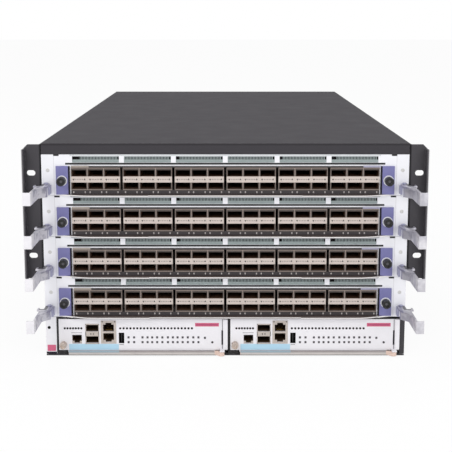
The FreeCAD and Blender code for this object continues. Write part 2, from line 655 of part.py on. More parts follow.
def mpu_panel(index, x):
    """Management module's carrier: faceplate framed round its ports, tray, column and lug."""
    item = body(f"mpu_{index}_panel", x, 0, 0)
    front, sheet_, gap = -D.face_sheet, D.tray_sheet, D.cage_joint
    left, right, floor = D.mpu_tray_left, mpu_width - D.mpu_tray_inset, D.mpu_floor
    # full-height pieces beside the openings, shorter ones below, between and above them
    pieces, start = [], 0
    for at, width, low, height, _, step in mpu_sockets():
        near_edge, far_edge = at + gap, at + width - gap
        top = low + height if step is None else low + height + step
        pieces += [rectangle(start, D.mpu_low, at, D.mpu_high),
                   rectangle(near_edge, D.mpu_low, far_edge, low),
                   rectangle(near_edge, top, far_edge, D.mpu_high)]
        if step is not None:
            pieces.append(rectangle(near_edge, low + height, far_edge, low + step))
        start = at + width
    pad(item, "front", front, 0, *pieces, rectangle(start, D.mpu_low, mpu_width, D.mpu_high))
    cut(item, "front", front, 0,
        bore(D.mpu_screw_at, D.mpu_screw_height, D.screw_radius + D.running_fit))
    pad(item, "front", gap, D.mpu_depth, [
        (left, floor), (right, floor), (right, D.mpu_wall), (right - sheet_, D.mpu_wall),
        (right - sheet_, floor + sheet_), (left + sheet_, floor + sheet_),
        (left + sheet_, D.mpu_wall), (left, D.mpu_wall)])
    # the tray's floor lies below the faceplate's edge: a short web closes the step
    pivot = front - D.arm_pivot_reach
    pad(item, "front", front, 0,
        rectangle(left, floor, arm_x - D.arm_nose * 3, D.mpu_low - gap))
    # raised column at the right end and the lug that carries the lever's pin
    lug = D.arm_low + D.arm_height + D.hinge_gap
    pad(item, "front", front - D.column_proud, front,
        rectangle(mpu_width - D.column_width, lug + D.arm_lug, mpu_width, D.mpu_high))
    pad(item, "top", lug, lug + D.arm_lug, rectangle(
        arm_x - D.arm_nose, pivot - D.arm_nose, arm_x + D.arm_nose, front))
    pad(item, "top", D.arm_low, lug, shaft(arm_x, pivot, D.arm_pin))


def mpu_ports(index, x):
    """Sockets behind the faceplate: console, stacked network pair, module cages and serial bus."""
    item = body(f"mpu_{index}_ports", x, 0, 0)
    wall, gap = D.jack_wall, D.cage_joint
    foot = D.mpu_floor + D.tray_sheet
    for left, width, low, height, depth, step in mpu_sockets():
        right, high, inner = left + width, low + height, depth - wall
        top = high if step is None else high + step
        flats = [rectangle(left + gap, foot, right - gap, low),
                 rectangle(left + gap, top, right - gap, top + wall)]
        if step is not None:
            flats.append(rectangle(left + gap, high, right - gap, low + step))
        # the two side walls with the floor, the roof and the shelf between stacked ports
        pad(item, "front", 0, inner, rectangle(left - wall, foot, left, top + wall),
            rectangle(right, foot, right + wall, top + wall), *flats)
        pad(item, "front", inner + gap, depth,
            rectangle(left - wall, foot, right + wall, top + wall))


def mpu_lever(index, x):
    """Flat ejector arm along the module's lower edge, turning on a pin at its right end."""
    item = body(f"mpu_{index}_lever", x + arm_x, -D.face_sheet - D.arm_pivot_reach, 0)
    top, nose = D.arm_low + D.arm_height, D.arm_nose
    back = D.arm_pivot_reach - D.arm_gap
    face, start = back - D.arm_sheet, D.arm_start - arm_x
    pad(item, "top", D.arm_low, top, [
        (start, back), (start, face), (-nose * 3, face), (-nose, -nose), (0, -nose), (0, nose),
        (-nose, nose), (-nose * 3, back)])
    pad(item, "top", D.arm_low, top, shaft(0, 0, nose))
    cut(item, "top", D.arm_low, top, bore(0, 0, D.arm_pin + D.running_fit))


# ---------------------------------------------------------------- rear modules

def wire_handle(item, left, width, middle, base):
    """A bent wire handle that stands back from a rear face."""
    wire, reach = D.handle_wire, base + D.handle_reach
    right = left + width
    pad(item, "top", middle - wire, middle + wire, [
        (left, base), (left, reach), (right, reach), (right, base), (right - wire * 2, base),
        (right - wire * 2, reach - wire * 2), (left + wire * 2, reach - wire * 2),
        (left + wire * 2, base)])


def fan_module(label, side):
    """Fan tray: a frame with a round duct, a spider that holds the shaft, and a pull handle."""
    item = body(label, fan_x * side, case_depth - D.fan_depth, fan_z)
    half, tall = fan_width / 2, fan_height / 2
    pad(item, "front", 0, D.fan_depth, rectangle(-half, -tall, half, tall))
    cut(item, "front", 0, D.fan_depth, bore(0, 0, D.fan_duct, 28))
    # spider in front of the rotor, with its hub and the fixed shaft
    arm, reach, front = D.spider_width / 2, D.fan_duct + 1, D.rotor_at - D.spider_depth
    pad(item, "front", front, D.rotor_at, rectangle(-reach, -arm, reach, arm))
    pad(item, "front", front, D.rotor_at, rectangle(-arm, -reach, arm, reach))
    pad(item, "front", front, D.rotor_at, shaft(0, 0, D.spider_hub))
    pad(item, "front", D.rotor_at, D.rotor_at + D.rotor_depth / 2, shaft(0, 0, D.fan_shaft))
    wire_handle(item, -D.fan_handle / 2, D.fan_handle, (D.fan_duct + tall) / 2, D.fan_depth)


def fan_grille(label, side):
    """Finger guard: a flat frame with rows of narrow windows over the duct."""
    item = body(label, fan_x * side, case_depth, fan_z)
    reach, bar = D.fan_duct + D.grille_bar, D.grille_bar
    frame = D.grille_frame
    pad(item, "front", 0, D.grille_depth, rectangle(-reach, -reach, reach, reach))
    across = (reach * 2 - frame * 2 - bar * (GRILLE_COLUMNS - 1)) / GRILLE_COLUMNS
    up = (reach * 2 - frame * 2 - bar * (GRILLE_ROWS - 1)) / GRILLE_ROWS
    left = frame - reach
    window = cut(item, "front", 0, D.grille_depth,
                 rectangle(left, left, left + across, left + up))
    grid(item, window, ("H_Axis", across + bar, GRILLE_COLUMNS),
         ("V_Axis", up + bar, GRILLE_ROWS))


def fan_rotor(label, side):
    """Axial rotor: a bored hub with cambered blades."""
    item = body(label, fan_x * side, case_depth - D.fan_depth + D.rotor_at + D.hinge_gap, fan_z)
    pad(item, "front", 0, D.rotor_depth, shaft(0, 0, D.fan_hub, BLADES * 2))
    # a blade's section is a thin plate that climbs across the hub with a bend in its middle
    first, last = (D.rotor_depth - D.blade_deep) / 2, (D.rotor_depth + D.blade_deep) / 2
    rise, middle, thick = D.blade_rise / 2, D.rotor_depth / 2, D.blade_thick
    blade = pad(item, "side", D.blade_root, D.fan_tip, [
        (first, -rise), (middle, D.blade_camber), (last, rise), (last, rise - thick),
        (middle, D.blade_camber - thick), (first, -rise - thick)])
    blades = item.newObject("PartDesign::PolarPattern", f"{label}_blades")
    blades.Originals = [blade]
    blades.Axis = (origin_plane(item, "Y_Axis"), [""])
    blades.Angle = 360
    blades.Occurrences = BLADES
    item.Tip = blades
    cut(item, "front", 0, D.rotor_depth * 3 / 4, bore(0, 0, D.fan_shaft + D.running_fit))


def power_supply(index):
    """Slim power supply: an open-ended case with its inlet, fan ring and wire handle."""
    width, deep = psu_pitch - D.cage_sheet - D.slide_play * 2, D.rear_depth
    item = body(f"power_supply_{index}", psu_pitch * (index - 1) - bay_half + D.slide_play,
                case_depth - deep, cage_low + D.cage_sheet + D.slide_play)
    sheet_, middle, inlet = D.psu_sheet, D.psu_height / 2, D.inlet_width / 2
    pad(item, "front", 0, deep, rectangle(0, 0, width, D.psu_height))
    cut(item, "front", 0, deep - D.inlet_depth - D.psu_end,
        rectangle(sheet_, sheet_, width - sheet_, D.psu_height - sheet_))
    cut(item, "front", deep - D.inlet_depth, deep, rectangle(
        D.inlet_at - inlet, middle - D.inlet_height / 2, D.inlet_at + inlet,
        middle + D.inlet_height / 2))
    fan = width - D.psu_fan * 3 / 2
    cut(item, "front", deep - D.psu_fan_depth, deep, bore(fan, middle, D.psu_fan, 12),
        shaft(fan, middle, D.psu_fan / 2, 6))
    wire_handle(item, (D.inlet_at + inlet + fan - D.psu_fan - D.handle_width) / 2,
                D.handle_width, middle, deep)


def build():
    """Builds every sub-part from the case inwards."""
    top_cover()
    lower_pan()
    card_cage()
    end_strips()
    backplane()
    rear_sleeve()
    sides = (("left", -1), ("right", 1))
    for label, side in sides:
        rack_ear(f"rack_ear_{label}", side)
    case_screws()
    for index in range(1, SLOTS + 1):
        z = D.mpu_row + D.slot_pitch * (index - 1)
        card_panel(index, z)
        card_board(index, z)
        card_ports(index, z)
        end_plates(index, z)
        for label, side in sides:
            captive_screw(f"card_{index}_screw_{label}", screw_x * side, z + D.screw_height,
                          -D.face_sheet - D.plate_thick - D.ring_thick, D.knob_radius,
                          D.knob_length)
            ejector_lever(index, label, side, z)
    for index, x in enumerate(mpu_x, start=1):
        mpu_panel(index, x)
        mpu_ports(index, x)
        mpu_lever(index, x)
        captive_screw(f"mpu_{index}_screw", x + D.mpu_screw_at, D.mpu_screw_height,
                      -D.face_sheet, D.mpu_knob_radius, D.mpu_knob_length)
    for label, side in sides:
        fan_module(f"fan_module_{label}", side)
        fan_rotor(f"fan_rotor_{label}", side)
        fan_grille(f"fan_grille_{label}", side)
    for index in range(1, SUPPLIES + 1):
        power_supply(index)


def check():
    """Stops on a failed object, an empty or invalid shape, or a pocket that removes nothing."""
    for item in doc.Objects:
        if {"Invalid", "Error"} & set(item.State):
            raise RuntimeError(f"{item.Label} failed: {item.State}")
    for item in parts:
        if item.Shape.isNull() or not item.Shape.isValid() or not item.Shape.Solids:
            raise RuntimeError(f"{item.Label} has no valid solid")
        for feature in item.Group:
            if feature.TypeId == "PartDesign::Pocket":
                before = feature.BaseFeature.Shape.Volume
                if before - feature.Shape.Volume < 1e-3:
                    raise RuntimeError(f"{feature.Label} removes nothing")


def export():
    """Writes one STEP file for each sub-part."""
    os.makedirs("parts", exist_ok=True)
    for item in parts:
        item.Shape.exportStep(f"parts/{item.Label}.step")


build()
doc.recompute()
check()
export()
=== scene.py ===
import json
import logging
import math
from collections.abc import Callable, Iterable, Iterator
from contextlib import contextmanager
from dataclasses import dataclass, field
from enum import Enum

import bpy
from mathutils import Matrix, Vector

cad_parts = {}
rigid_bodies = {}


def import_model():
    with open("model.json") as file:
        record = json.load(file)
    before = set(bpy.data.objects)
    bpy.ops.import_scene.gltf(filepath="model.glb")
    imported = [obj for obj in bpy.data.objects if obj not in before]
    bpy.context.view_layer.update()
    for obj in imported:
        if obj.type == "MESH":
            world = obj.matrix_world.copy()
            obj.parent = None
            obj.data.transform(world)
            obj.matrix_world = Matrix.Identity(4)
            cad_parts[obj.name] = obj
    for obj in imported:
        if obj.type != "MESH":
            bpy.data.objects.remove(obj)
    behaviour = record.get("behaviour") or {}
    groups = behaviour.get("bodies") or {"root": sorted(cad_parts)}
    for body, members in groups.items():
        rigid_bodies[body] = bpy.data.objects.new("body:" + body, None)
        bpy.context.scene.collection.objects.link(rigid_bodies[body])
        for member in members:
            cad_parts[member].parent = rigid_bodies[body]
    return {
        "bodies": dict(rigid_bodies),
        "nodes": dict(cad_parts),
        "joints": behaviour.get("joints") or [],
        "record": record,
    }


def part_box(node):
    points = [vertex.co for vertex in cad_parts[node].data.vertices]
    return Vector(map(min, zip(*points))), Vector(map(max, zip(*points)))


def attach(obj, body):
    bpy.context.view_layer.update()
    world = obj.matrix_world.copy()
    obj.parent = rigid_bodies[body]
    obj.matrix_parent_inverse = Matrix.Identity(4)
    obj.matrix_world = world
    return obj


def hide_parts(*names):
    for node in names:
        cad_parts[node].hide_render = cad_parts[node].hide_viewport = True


# Looks of the modular chassis switch. Lengths are in millimetres until Bench turns them to metres.

MM = 0.001
FACE = -364.65  # front of the faceplates
BEHIND = FACE + 1.6  # just behind them
ROW = 49.4  # base of the first card
PITCH = 50.3  # from one card to the next
Colour = tuple[float, float, float]
Point = tuple[float, float, float]
Piece = bpy.types.Object
Socket = bpy.types.NodeSocket
Test = Callable[[Vector, Vector], bool]
Layers = list[tuple[object, object]]
log = logging.getLogger("switch")


class Side(Enum):
    """Which end of a card a piece stands on, seen from the front."""

    LEFT = -1
    RIGHT = 1

    @property
    def word(self) -> str:
        """Name that the frame uses for this side."""
        return self.name.lower()


def tone(red: int, green: int, blue: int) -> Colour:
    """Turns a display colour into the linear one that shaders take.

    Args:
        red: red from 0 to 255.
        green: green from 0 to 255.
        blue: blue from 0 to 255.

    Returns:
        The linear colour.
    """
    def linear(level: int) -> float:
        """Linear value of one channel."""
        share = level / 255
        return share / 12.92 if share <= 0.04045 else ((share + 0.055) / 1.055) ** 2.4
    return linear(red), linear(green), linear(blue)


def shaded(colour: Colour, share: float) -> Colour:
    """A colour at a share of its strength."""
    return tuple(channel * share for channel in colour)


# ---------------------------------------------------------------- shader recipes


def operator(kind: str, turned: bool = False) -> Callable[..., "Signal"]:
    """Makes the method behind a Python operator.

    Args:
        kind: operation of the Math node that it adds.
        turned: whether the other value comes first.

    Returns:
        The method.
    """
    def method(self: "Signal", other: object = None) -> "Signal":
        """Adds the Math node."""
        return self.using(kind, *((other, self) if turned else (self, other)))
    return method


class Signal:
    """A number that varies over a surface, with arithmetic that adds Math nodes."""

    __add__ = __radd__ = operator("ADD")
    __sub__ = operator("SUBTRACT")
    __rsub__ = operator("SUBTRACT", turned=True)
    __mul__ = __rmul__ = operator("MULTIPLY")
    __mod__ = operator("FLOORED_MODULO")
    __gt__ = operator("GREATER_THAN")
    __lt__ = operator("LESS_THAN")
    __abs__ = operator("ABSOLUTE")

    def __init__(self, recipe: "Recipe", socket: Socket) -> None:
        """Keeps the recipe that owns the socket."""
        self.recipe, self.socket = recipe, socket

    def using(self, operation: str, *values: object) -> "Signal":
        """Adds a Math node with these values."""
        node = self.recipe.node("Math", dict(enumerate(values)), operation=operation)
        return Signal(self.recipe, node.outputs[0])

    def near(self, middle: float, reach: float) -> "Signal":
        """1 within reach of the middle, 0 elsewhere."""
        return self.using("COMPARE", self, middle, reach)

    def ramp(self, low: float, high: float) -> "Signal":
        """Rises from 0 at low to 1 at high and is held outside them."""
        node = self.recipe.node("MapRange", {
            "Value": self, "From Min": low, "From Max": high, "To Min": 0.0, "To Max": 1.0})
        return Signal(self.recipe, node.outputs["Result"])


class Nodes:
    """A node tree and the moves that fill it."""

    def __init__(self, tree: bpy.types.NodeTree) -> None:
        """Empties the tree."""
        self.tree = tree
        tree.nodes.clear()

    def feed(self, socket: Socket, value: object) -> None:
        """Gives an input a link, a colour or a number."""
        value = value.socket if isinstance(value, Signal) else value
        if isinstance(value, Socket):
            self.tree.links.new(value, socket)
        else:
            socket.default_value = (*value, 1) if socket.type == "RGBA" else value

    def node(self, kind: str, values: dict[object, object] | None = None,
             **settings: object) -> bpy.types.Node:
        """Adds a node, sets it up, then fills or links its inputs.

        Args:
            kind: the node's type, without "ShaderNode".
            values: what each input gets, by name, identifier or index.
            settings: properties to set first.

        Returns:
            The new node.
        """
        new = self.tree.nodes.new("ShaderNode" + kind)
        for key, value in settings.items():
            setattr(new, key, value)
        for key, value in (values or {}).items():
            if value is not None:
                self.feed(new.inputs[key] if isinstance(key, int) else next(
                    s for s in new.inputs if key in (s.identifier, s.name)), value)
        return new


class Recipe(Nodes):
    """A material under construction: one Principled surface and the nodes that feed it."""

    def __init__(self, name: str) -> None:
        """Starts a material and reads the surface's place in millimetres."""
        self.material = bpy.data.materials.new(name)
        self.material.use_nodes = True
        super().__init__(self.material.node_tree)
        self.surface = self.node("BsdfPrincipled")
        self.output = self.node("OutputMaterial", {"Surface": self.surface.outputs["BSDF"]})
        self.place = self.node("TexCoord").outputs["Object"]
        apart = self.node("SeparateXYZ", {"Vector": self.place})
        self.x, self.y, self.z = (Signal(self, apart.outputs[axis]) * 1000 for axis in "XYZ")
        shape = self.node("NewGeometry")
        facing = self.node("SeparateXYZ", {"Vector": shape.outputs["True Normal"]})
        self.normal = shape.outputs["Normal"]
        self.facing_y, self.facing_z = (Signal(self, facing.outputs[axis]) for axis in "YZ")

    def high(self) -> Signal:
        """Height above the base of the card at that height."""
        return (self.z - ROW) % PITCH

    def noise(self, size: float, detail: float = 2, stretch: Point = (1, 1, 1)) -> Signal:
        """Soft noise.

        Args:
            size: size of its grains in millimetres.
            detail: octaves of finer noise on it.
            stretch: how much longer grains are along each axis.

        Returns:
            The noise, about 0.5 on average.
        """
        place = self.node("Mapping", {
            "Vector": self.place, "Scale": tuple(1 / s for s in stretch)})
        made = self.node("TexNoise", {
            "Vector": place.outputs[0], "Scale": 1 / (size * MM), "Detail": detail})
        return Signal(self, made.outputs["Fac"])

    def cells(self, size: float) -> Signal:
        """Random value for each crystal of a surface of the given grain size."""
        made = self.node("TexVoronoi", {"Vector": self.place, "Scale": 1 / (size * MM)})
        apart = self.node("SeparateColor", {"Color": made.outputs["Color"]})
        return Signal(self, apart.outputs[0])

    def mix(self, share: object, first: object, second: object) -> Socket:
        """Mixes two colours by a share of the second."""
        made = self.node("Mix", {"Factor_Float": share, "A_Color": first, "B_Color": second},
                         data_type="RGBA")
        return next(s for s in made.outputs if s.identifier == "Result_Color")

    def edges(self, radius: float) -> Signal:
        """1 along sharp outer edges of the given width, 0 on flat faces."""
        soft = self.node("Bevel", {"Radius": radius * MM}, samples=4)
        dot = self.node("VectorMath", {0: soft.outputs[0], 1: self.normal},
                        operation="DOT_PRODUCT")
        return (1 - Signal(self, dot.outputs["Value"])).ramp(0.01, 0.12)

    def bump(self, height: Signal, depth: float) -> None:
        """Raises the surface by a height signal, depth millimetres at 1."""
        made = self.node("Bump", {"Strength": 1, "Distance": depth * MM, "Height": height})
        self.set("Normal", made.outputs["Normal"])

    def set(self, socket: str, value: object) -> None:
        """Gives one of the surface's own inputs a value or a link."""
        self.feed(self.surface.inputs[socket], value)


# ---------------------------------------------------------------- finishes


@dataclass(frozen=True)
class Finish:
    """Common ground of all finishes: mottled colour, varying gloss and a fine relief."""

    name: str
    colour: Colour
    rough: float = 0.5
    metal: float = 0.0
    mottle: float = 0.12
    patch: float = 30.0
    grain: float = 0.6
    relief: float = 0.02
    worn: float = 0.0
    sheen: float = 0.5

    def layers(self, recipe: Recipe) -> Layers:
        """Shares and colours laid over the mottled one in turn; plain finishes have none."""
        return []

    def make(self) -> bpy.types.Material:
        """Builds the material.

        Returns:
            The finished material.
        """
        recipe = Recipe(self.name)
        cloud = recipe.noise(self.patch, 4)
        speck = recipe.noise(self.grain, 2)
        light = tuple(min(1.0, c * (1 + self.mottle)) for c in self.colour)
        colour = recipe.mix(cloud * 0.6 + speck * 0.4, shaded(self.colour, 1 - self.mottle * 2),
                            light)
        layers = self.layers(recipe)
        if self.worn:
            bare = tuple(c * 0.5 + 0.5 * self.worn for c in self.colour)
            layers.append((recipe.edges(0.7) * recipe.noise(4).ramp(0.35, 0.75) * 0.8, bare))
        for share, over in layers:
            colour = recipe.mix(share, colour, over)
        recipe.set("Base Color", colour)
        recipe.set("Metallic", self.metal)
        recipe.set("Specular IOR Level", self.sheen)
        recipe.set("Roughness", (cloud - 0.5) * 0.25 + (speck - 0.5) * 0.15 + self.rough)
        recipe.bump(speck, self.relief)
        return recipe.material


@dataclass(frozen=True)
class CoverCoat(Finish):
    """Textured powder coat of the cover, with painted shade on the front rail."""

    front: float = -362.9
    joint_at: float = 262.1
    # painted shade: the front rail's tone, darker than the top as it faces forwards
    rail: Colour = tone(62, 60, 64)
    # painted shade in the joint between the top and the front rail
    joint: Colour = tone(40, 38, 40)

    def layers(self, recipe: Recipe) -> Layers:
        """Painted shade on the front rail and painted shade in the joint at its top."""
        facing = recipe.y < self.front
        return [(facing * 0.75, self.rail),
                (facing * recipe.z.near(self.joint_at, 0.5) * 0.8, self.joint)]


@dataclass(frozen=True)
class EarCoat(Finish):
    """Dark coat of the rack ears, with a painted highlight at the outer edge and painted shade in
    the bend.
    """

    edge: float = 240.3
    bend: float = 221.4
    # painted highlight along the outer edge of the ears
    pale: Colour = tone(142, 140, 143)
    # painted shade in the bend
    shade: Colour = tone(38, 37, 40)

    def layers(self, recipe: Recipe) -> Layers:
        """Painted highlight on the outer edge and painted shade in the bend."""
        side = abs(recipe.x)
        return [((side > self.edge) * (recipe.facing_y < -0.5) * 0.9, self.pale),
                (side.near(self.bend, 1.2) * 0.8, self.shade)]


@dataclass(frozen=True)
class KnobCoat(Finish):
    """Black anodised knobs with a painted highlight on the boss in the middle and painted shade in
    a ring round it.
    """

    across: float = 195.3
    up: float = 68.2
    # painted highlight on the boss
    boss: Colour = tone(84, 82, 87)
    # painted shade in the ring round the boss
    ring: Colour = tone(12, 12, 13)

    def layers(self, recipe: Recipe) -> Layers:
        """Painted highlight on the boss inside a ring of painted shade."""
        wide = abs(recipe.x) - self.across
        tall = (recipe.z - self.up + PITCH / 2) % PITCH - PITCH / 2
        square = wide * wide + tall * tall
        out = square.using("SQRT", square)
        return [(out.near(3.0, 1.1), self.ring), ((out < 1.7) * 0.9, self.boss)]


@dataclass(frozen=True)
class CardCoat(Finish):
    """White coat of a card's faceplate, with painted shade on the ledge, plated brackets and a
    plain tray.
    """

    bracket: float = 208.4
    notch: float = 202.2
    run: float = 186.0
    groove: float = 38.95
    # painted shade on the top face of the ledge
    ledge: Colour = tone(98, 85, 82)
    # painted shade on the lower part of the lip
    lip_foot: Colour = tone(132, 127, 128)
    lip: Colour = tone(238, 235, 234)
    seam: Colour = tone(205, 203, 208)
    band: Colour = tone(206, 209, 212)
    plated: Colour = tone(158, 158, 184)
    shade: Colour = tone(20, 19, 21)
    tray: Colour = tone(176, 177, 180)

    def layers(self, recipe: Recipe) -> Layers:
        """Ledge top in painted shade, its lip with painted shade at the foot, brackets, seams,
        upper band, painted shade at the groove, tray and painted shade in the notches.
        """
        high, side, y = recipe.high(), abs(recipe.x), recipe.y
        proud, sunk, flat = y < FACE - 0.3, y > FACE + 0.03, y.near(FACE, 0.2)
        ledge = proud * (high < 2.0) * (side < 202)
        lip = ledge * (recipe.facing_y < -0.3)
        # the ledge's top face and the foot of its lip get painted shade
        return [(ledge * (recipe.facing_z > 0.5), self.ledge),
                (lip, self.lip),
                (lip * (high < 0.85) * (side < self.run), self.lip_foot),
                (proud * (side > self.bracket), self.plated),
                (flat * side.near(205.2, 0.22), self.seam),
                (flat * high.near(49.0, 0.9) * (side < self.run), self.band),
                # painted shade round the groove
                (flat * high.near(self.groove, 1.15) * (side < 191.4), self.shade),
                (y > BEHIND, self.tray),
                # painted shade in the groove and in the notches
                (sunk * (y < BEHIND) * high.near(self.groove - 0.1, 0.7), self.shade),
                (sunk * side.near(self.notch, 3.6) * (high > 47.9), self.shade)]


@dataclass(frozen=True)
class ModuleCoat(Finish):
    """White coat of a management module's faceplate with a plain tray behind it."""

    tray: Colour = tone(176, 177, 180)

    def layers(self, recipe: Recipe) -> Layers:
        """Plain plated metal behind the faceplate."""
        return [(recipe.y > BEHIND, self.tray)]


@dataclass(frozen=True)
class CageMetal(Finish):
    """Dull plated cages: pale spacer strips, a dark lamp strip and rim, brown inside."""

    bank: float = 62.0
    left: float = -184.4
    port: float = 19.6
    back: float = -310.5
    strip: Colour = tone(200, 188, 181)
    outline: Colour = tone(146, 131, 123)
    lamp: Colour = tone(56, 51, 53)
    rim: Colour = tone(62, 57, 58)
    inside: Colour = tone(88, 63, 48)
    plated: Colour = tone(150, 146, 142)

    def layers(self, recipe: Recipe) -> Layers:
        """Colours by height in the row, by depth in a mouth and plain outside it."""
        high, middle = recipe.high(), self.port / 2
        column = ((recipe.x - self.left) % self.bank) % self.port
        mouth = recipe.y < FACE - 2.6
        bars = 1 - column.near(middle, middle - 0.42)
        frame = high.near(7.9, 0.35) + high.near(34.2, 0.35) + bars * high.near(21, 13)
        cavity = (column.near(middle, 8.55) * (recipe.y < self.back)
                  * (high.near(12.85, 3.9) + high.near(27.85, 3.9)))
        return [(mouth * (frame > 0.5), self.outline),
                (mouth * high.near(20.35, 3.66), self.strip),
                ((recipe.y - FACE).ramp(-2.9, -1.0) * cavity, self.inside),
                (high < 7.28, self.lamp),
                (high > 34.72, self.rim),
                ((recipe.y > BEHIND) * (1 - cavity), self.plated)]


@dataclass(frozen=True)
class SocketMetal(Finish):
    """Plated socket shells of a management module, dark inside."""

    roof: float = 36.0
    inside: Colour = tone(96, 76, 58)
    plated: Colour = tone(150, 146, 142)

    def layers(self, recipe: Recipe) -> Layers:
        """Brown lining behind the mouth, plain plated roof."""
        return [((recipe.y - FACE).ramp(0.6, 2.0), self.inside),
                ((recipe.facing_z > 0.5) * (recipe.z > self.roof) * (recipe.y > BEHIND),
                 self.plated)]


@dataclass(frozen=True)
class PlateCoat(Finish):
    """Violet-blue coat of the end plates with the screw's ring in white."""

    face: float = -366.7
    ring: Colour = tone(236, 236, 242)

    def layers(self, recipe: Recipe) -> Layers:
        """White where the ring stands proud."""
        return [(recipe.y < self.face, self.ring)]


@dataclass(frozen=True)
class LeverZinc(Finish):
    """Pale lilac zinc of the ejector levers, nearly white on the tab as a painted highlight, and
    smudged.
    """

    tab: float = -412.0
    root: float = 212.5
    # painted highlight on the tab
    white: Colour = tone(236, 234, 238)
    dull: Colour = tone(134, 133, 152)
    claw: Colour = tone(140, 138, 164)
    # painted shade in patches on the right-hand levers
    worn_side: Colour = tone(158, 156, 166)
    cushion: Colour = tone(52, 50, 58)

    def layers(self, recipe: Recipe) -> Layers:
        """Smudges along the blade, painted highlight on the tab, painted shade on the right
        levers, dull claw, dark cushion.
        """
        side, y = abs(recipe.x), recipe.y
        cushion = side.near(219, 4.4) * y.near(-377, 8) * recipe.high().near(14.2, 2.2)
        return [(recipe.noise(9, 3).ramp(0.46, 0.62) * 0.75, self.dull),
                (y.ramp(self.tab, self.tab - 9) * 0.9, self.white),
                ((recipe.x > 0) * recipe.noise(12, 2).ramp(0.2, 0.6) * 0.75, self.worn_side),
                ((side < self.root) * 0.8, self.claw),
                (cushion * 0.85, self.cushion)]


@dataclass(frozen=True)
class ArmZinc(Finish):
    """Pale plate of a module's ejector arm, peach-coloured at its hinge end."""

    reach: float = 16.0
    lefts: tuple[float, float] = (-204.3, 6.3)
    width: float = 207.2
    peach: Colour = tone(236, 206, 190)
    # painted reflection: a blue cast near the free end of the arm
    sky: Colour = tone(150, 178, 194)
    shade: Colour = tone(118, 110, 112)

    def layers(self, recipe: Recipe) -> Layers:
        """Painted shade along the top edge, warm hinge end and a painted blue reflection near the
        free end of each arm.
        """
        # painted shade, stronger towards the top edge
        found = [(recipe.z.ramp(3.2, 6.2) * 0.8, self.shade)]
        for left in self.lefts:
            found += [(recipe.x.near(left + self.width, self.reach) * 0.8, self.peach),
                      (recipe.x.near(left + 43, 31) * recipe.z.ramp(3.4, 5.4) * 0.7, self.sky)]
        return found


@dataclass(frozen=True)
class Spangle(Finish):
    """Zinc-coated sheet with faint crystals and rolling marks."""

    crystal: float = 9.0
    front: float = -359.0
    rear: float = 364.6
    shade: Colour = tone(58, 57, 58)
    handle: Colour = tone(40, 40, 43)

    def layers(self, recipe: Recipe) -> Layers:
        """Crystals on the sheet, with painted shade on the front edges and dark handles at the
        rear.
        """
        line = recipe.noise(0.8, 1, (1, 60, 1)).ramp(0.45, 0.7)
        return [(recipe.cells(self.crystal) * 0.35, shaded(self.colour, 0.72)),
                (line * 0.2, shaded(self.colour, 0.55)),
                (recipe.y > self.rear, self.handle),
                # painted shade on the front edges
                (recipe.y < self.front, self.shade)]


@dataclass(frozen=True)
class Laminate(Finish):
    """Circuit board: green mask over darker copper runs and pale pads."""

    copper: Colour = tone(22, 92, 58)
    pad: Colour = tone(190, 176, 120)

    def layers(self, recipe: Recipe) -> Layers:
        """Runs along and across the board with a scatter of pads."""
        along = recipe.noise(1.6, 0, (1, 14, 1)).ramp(0.5, 0.54)
        across = recipe.noise(1.6, 0, (14, 1, 1)).ramp(0.5, 0.54)
        zone = recipe.noise(26, 0).ramp(0.48, 0.52)
        return [((along * zone + across * (1 - zone)) * 0.7, self.copper),
                (recipe.noise(1.3, 0).ramp(0.74, 0.76), self.pad)]


@dataclass(frozen=True)
class CardLaminate(Laminate):
    """Board of a port card with bare aluminium heat sinks and dark rear headers."""

    top: float = 6.5
    headers: float = 6.0
    fins: Colour = tone(172, 174, 178)
    header: Colour = tone(36, 36, 38)

    def layers(self, recipe: Recipe) -> Layers:
        """Aluminium above the board, dark moulding along its rear edge."""
        above = recipe.high() > self.top
        metal = recipe.mix(recipe.noise(0.7, 1, (1, 40, 1)), self.fins, shaded(self.fins, 0.7))
        return [*super().layers(recipe), (above, metal),
                (above * (recipe.y > self.headers), self.header)]


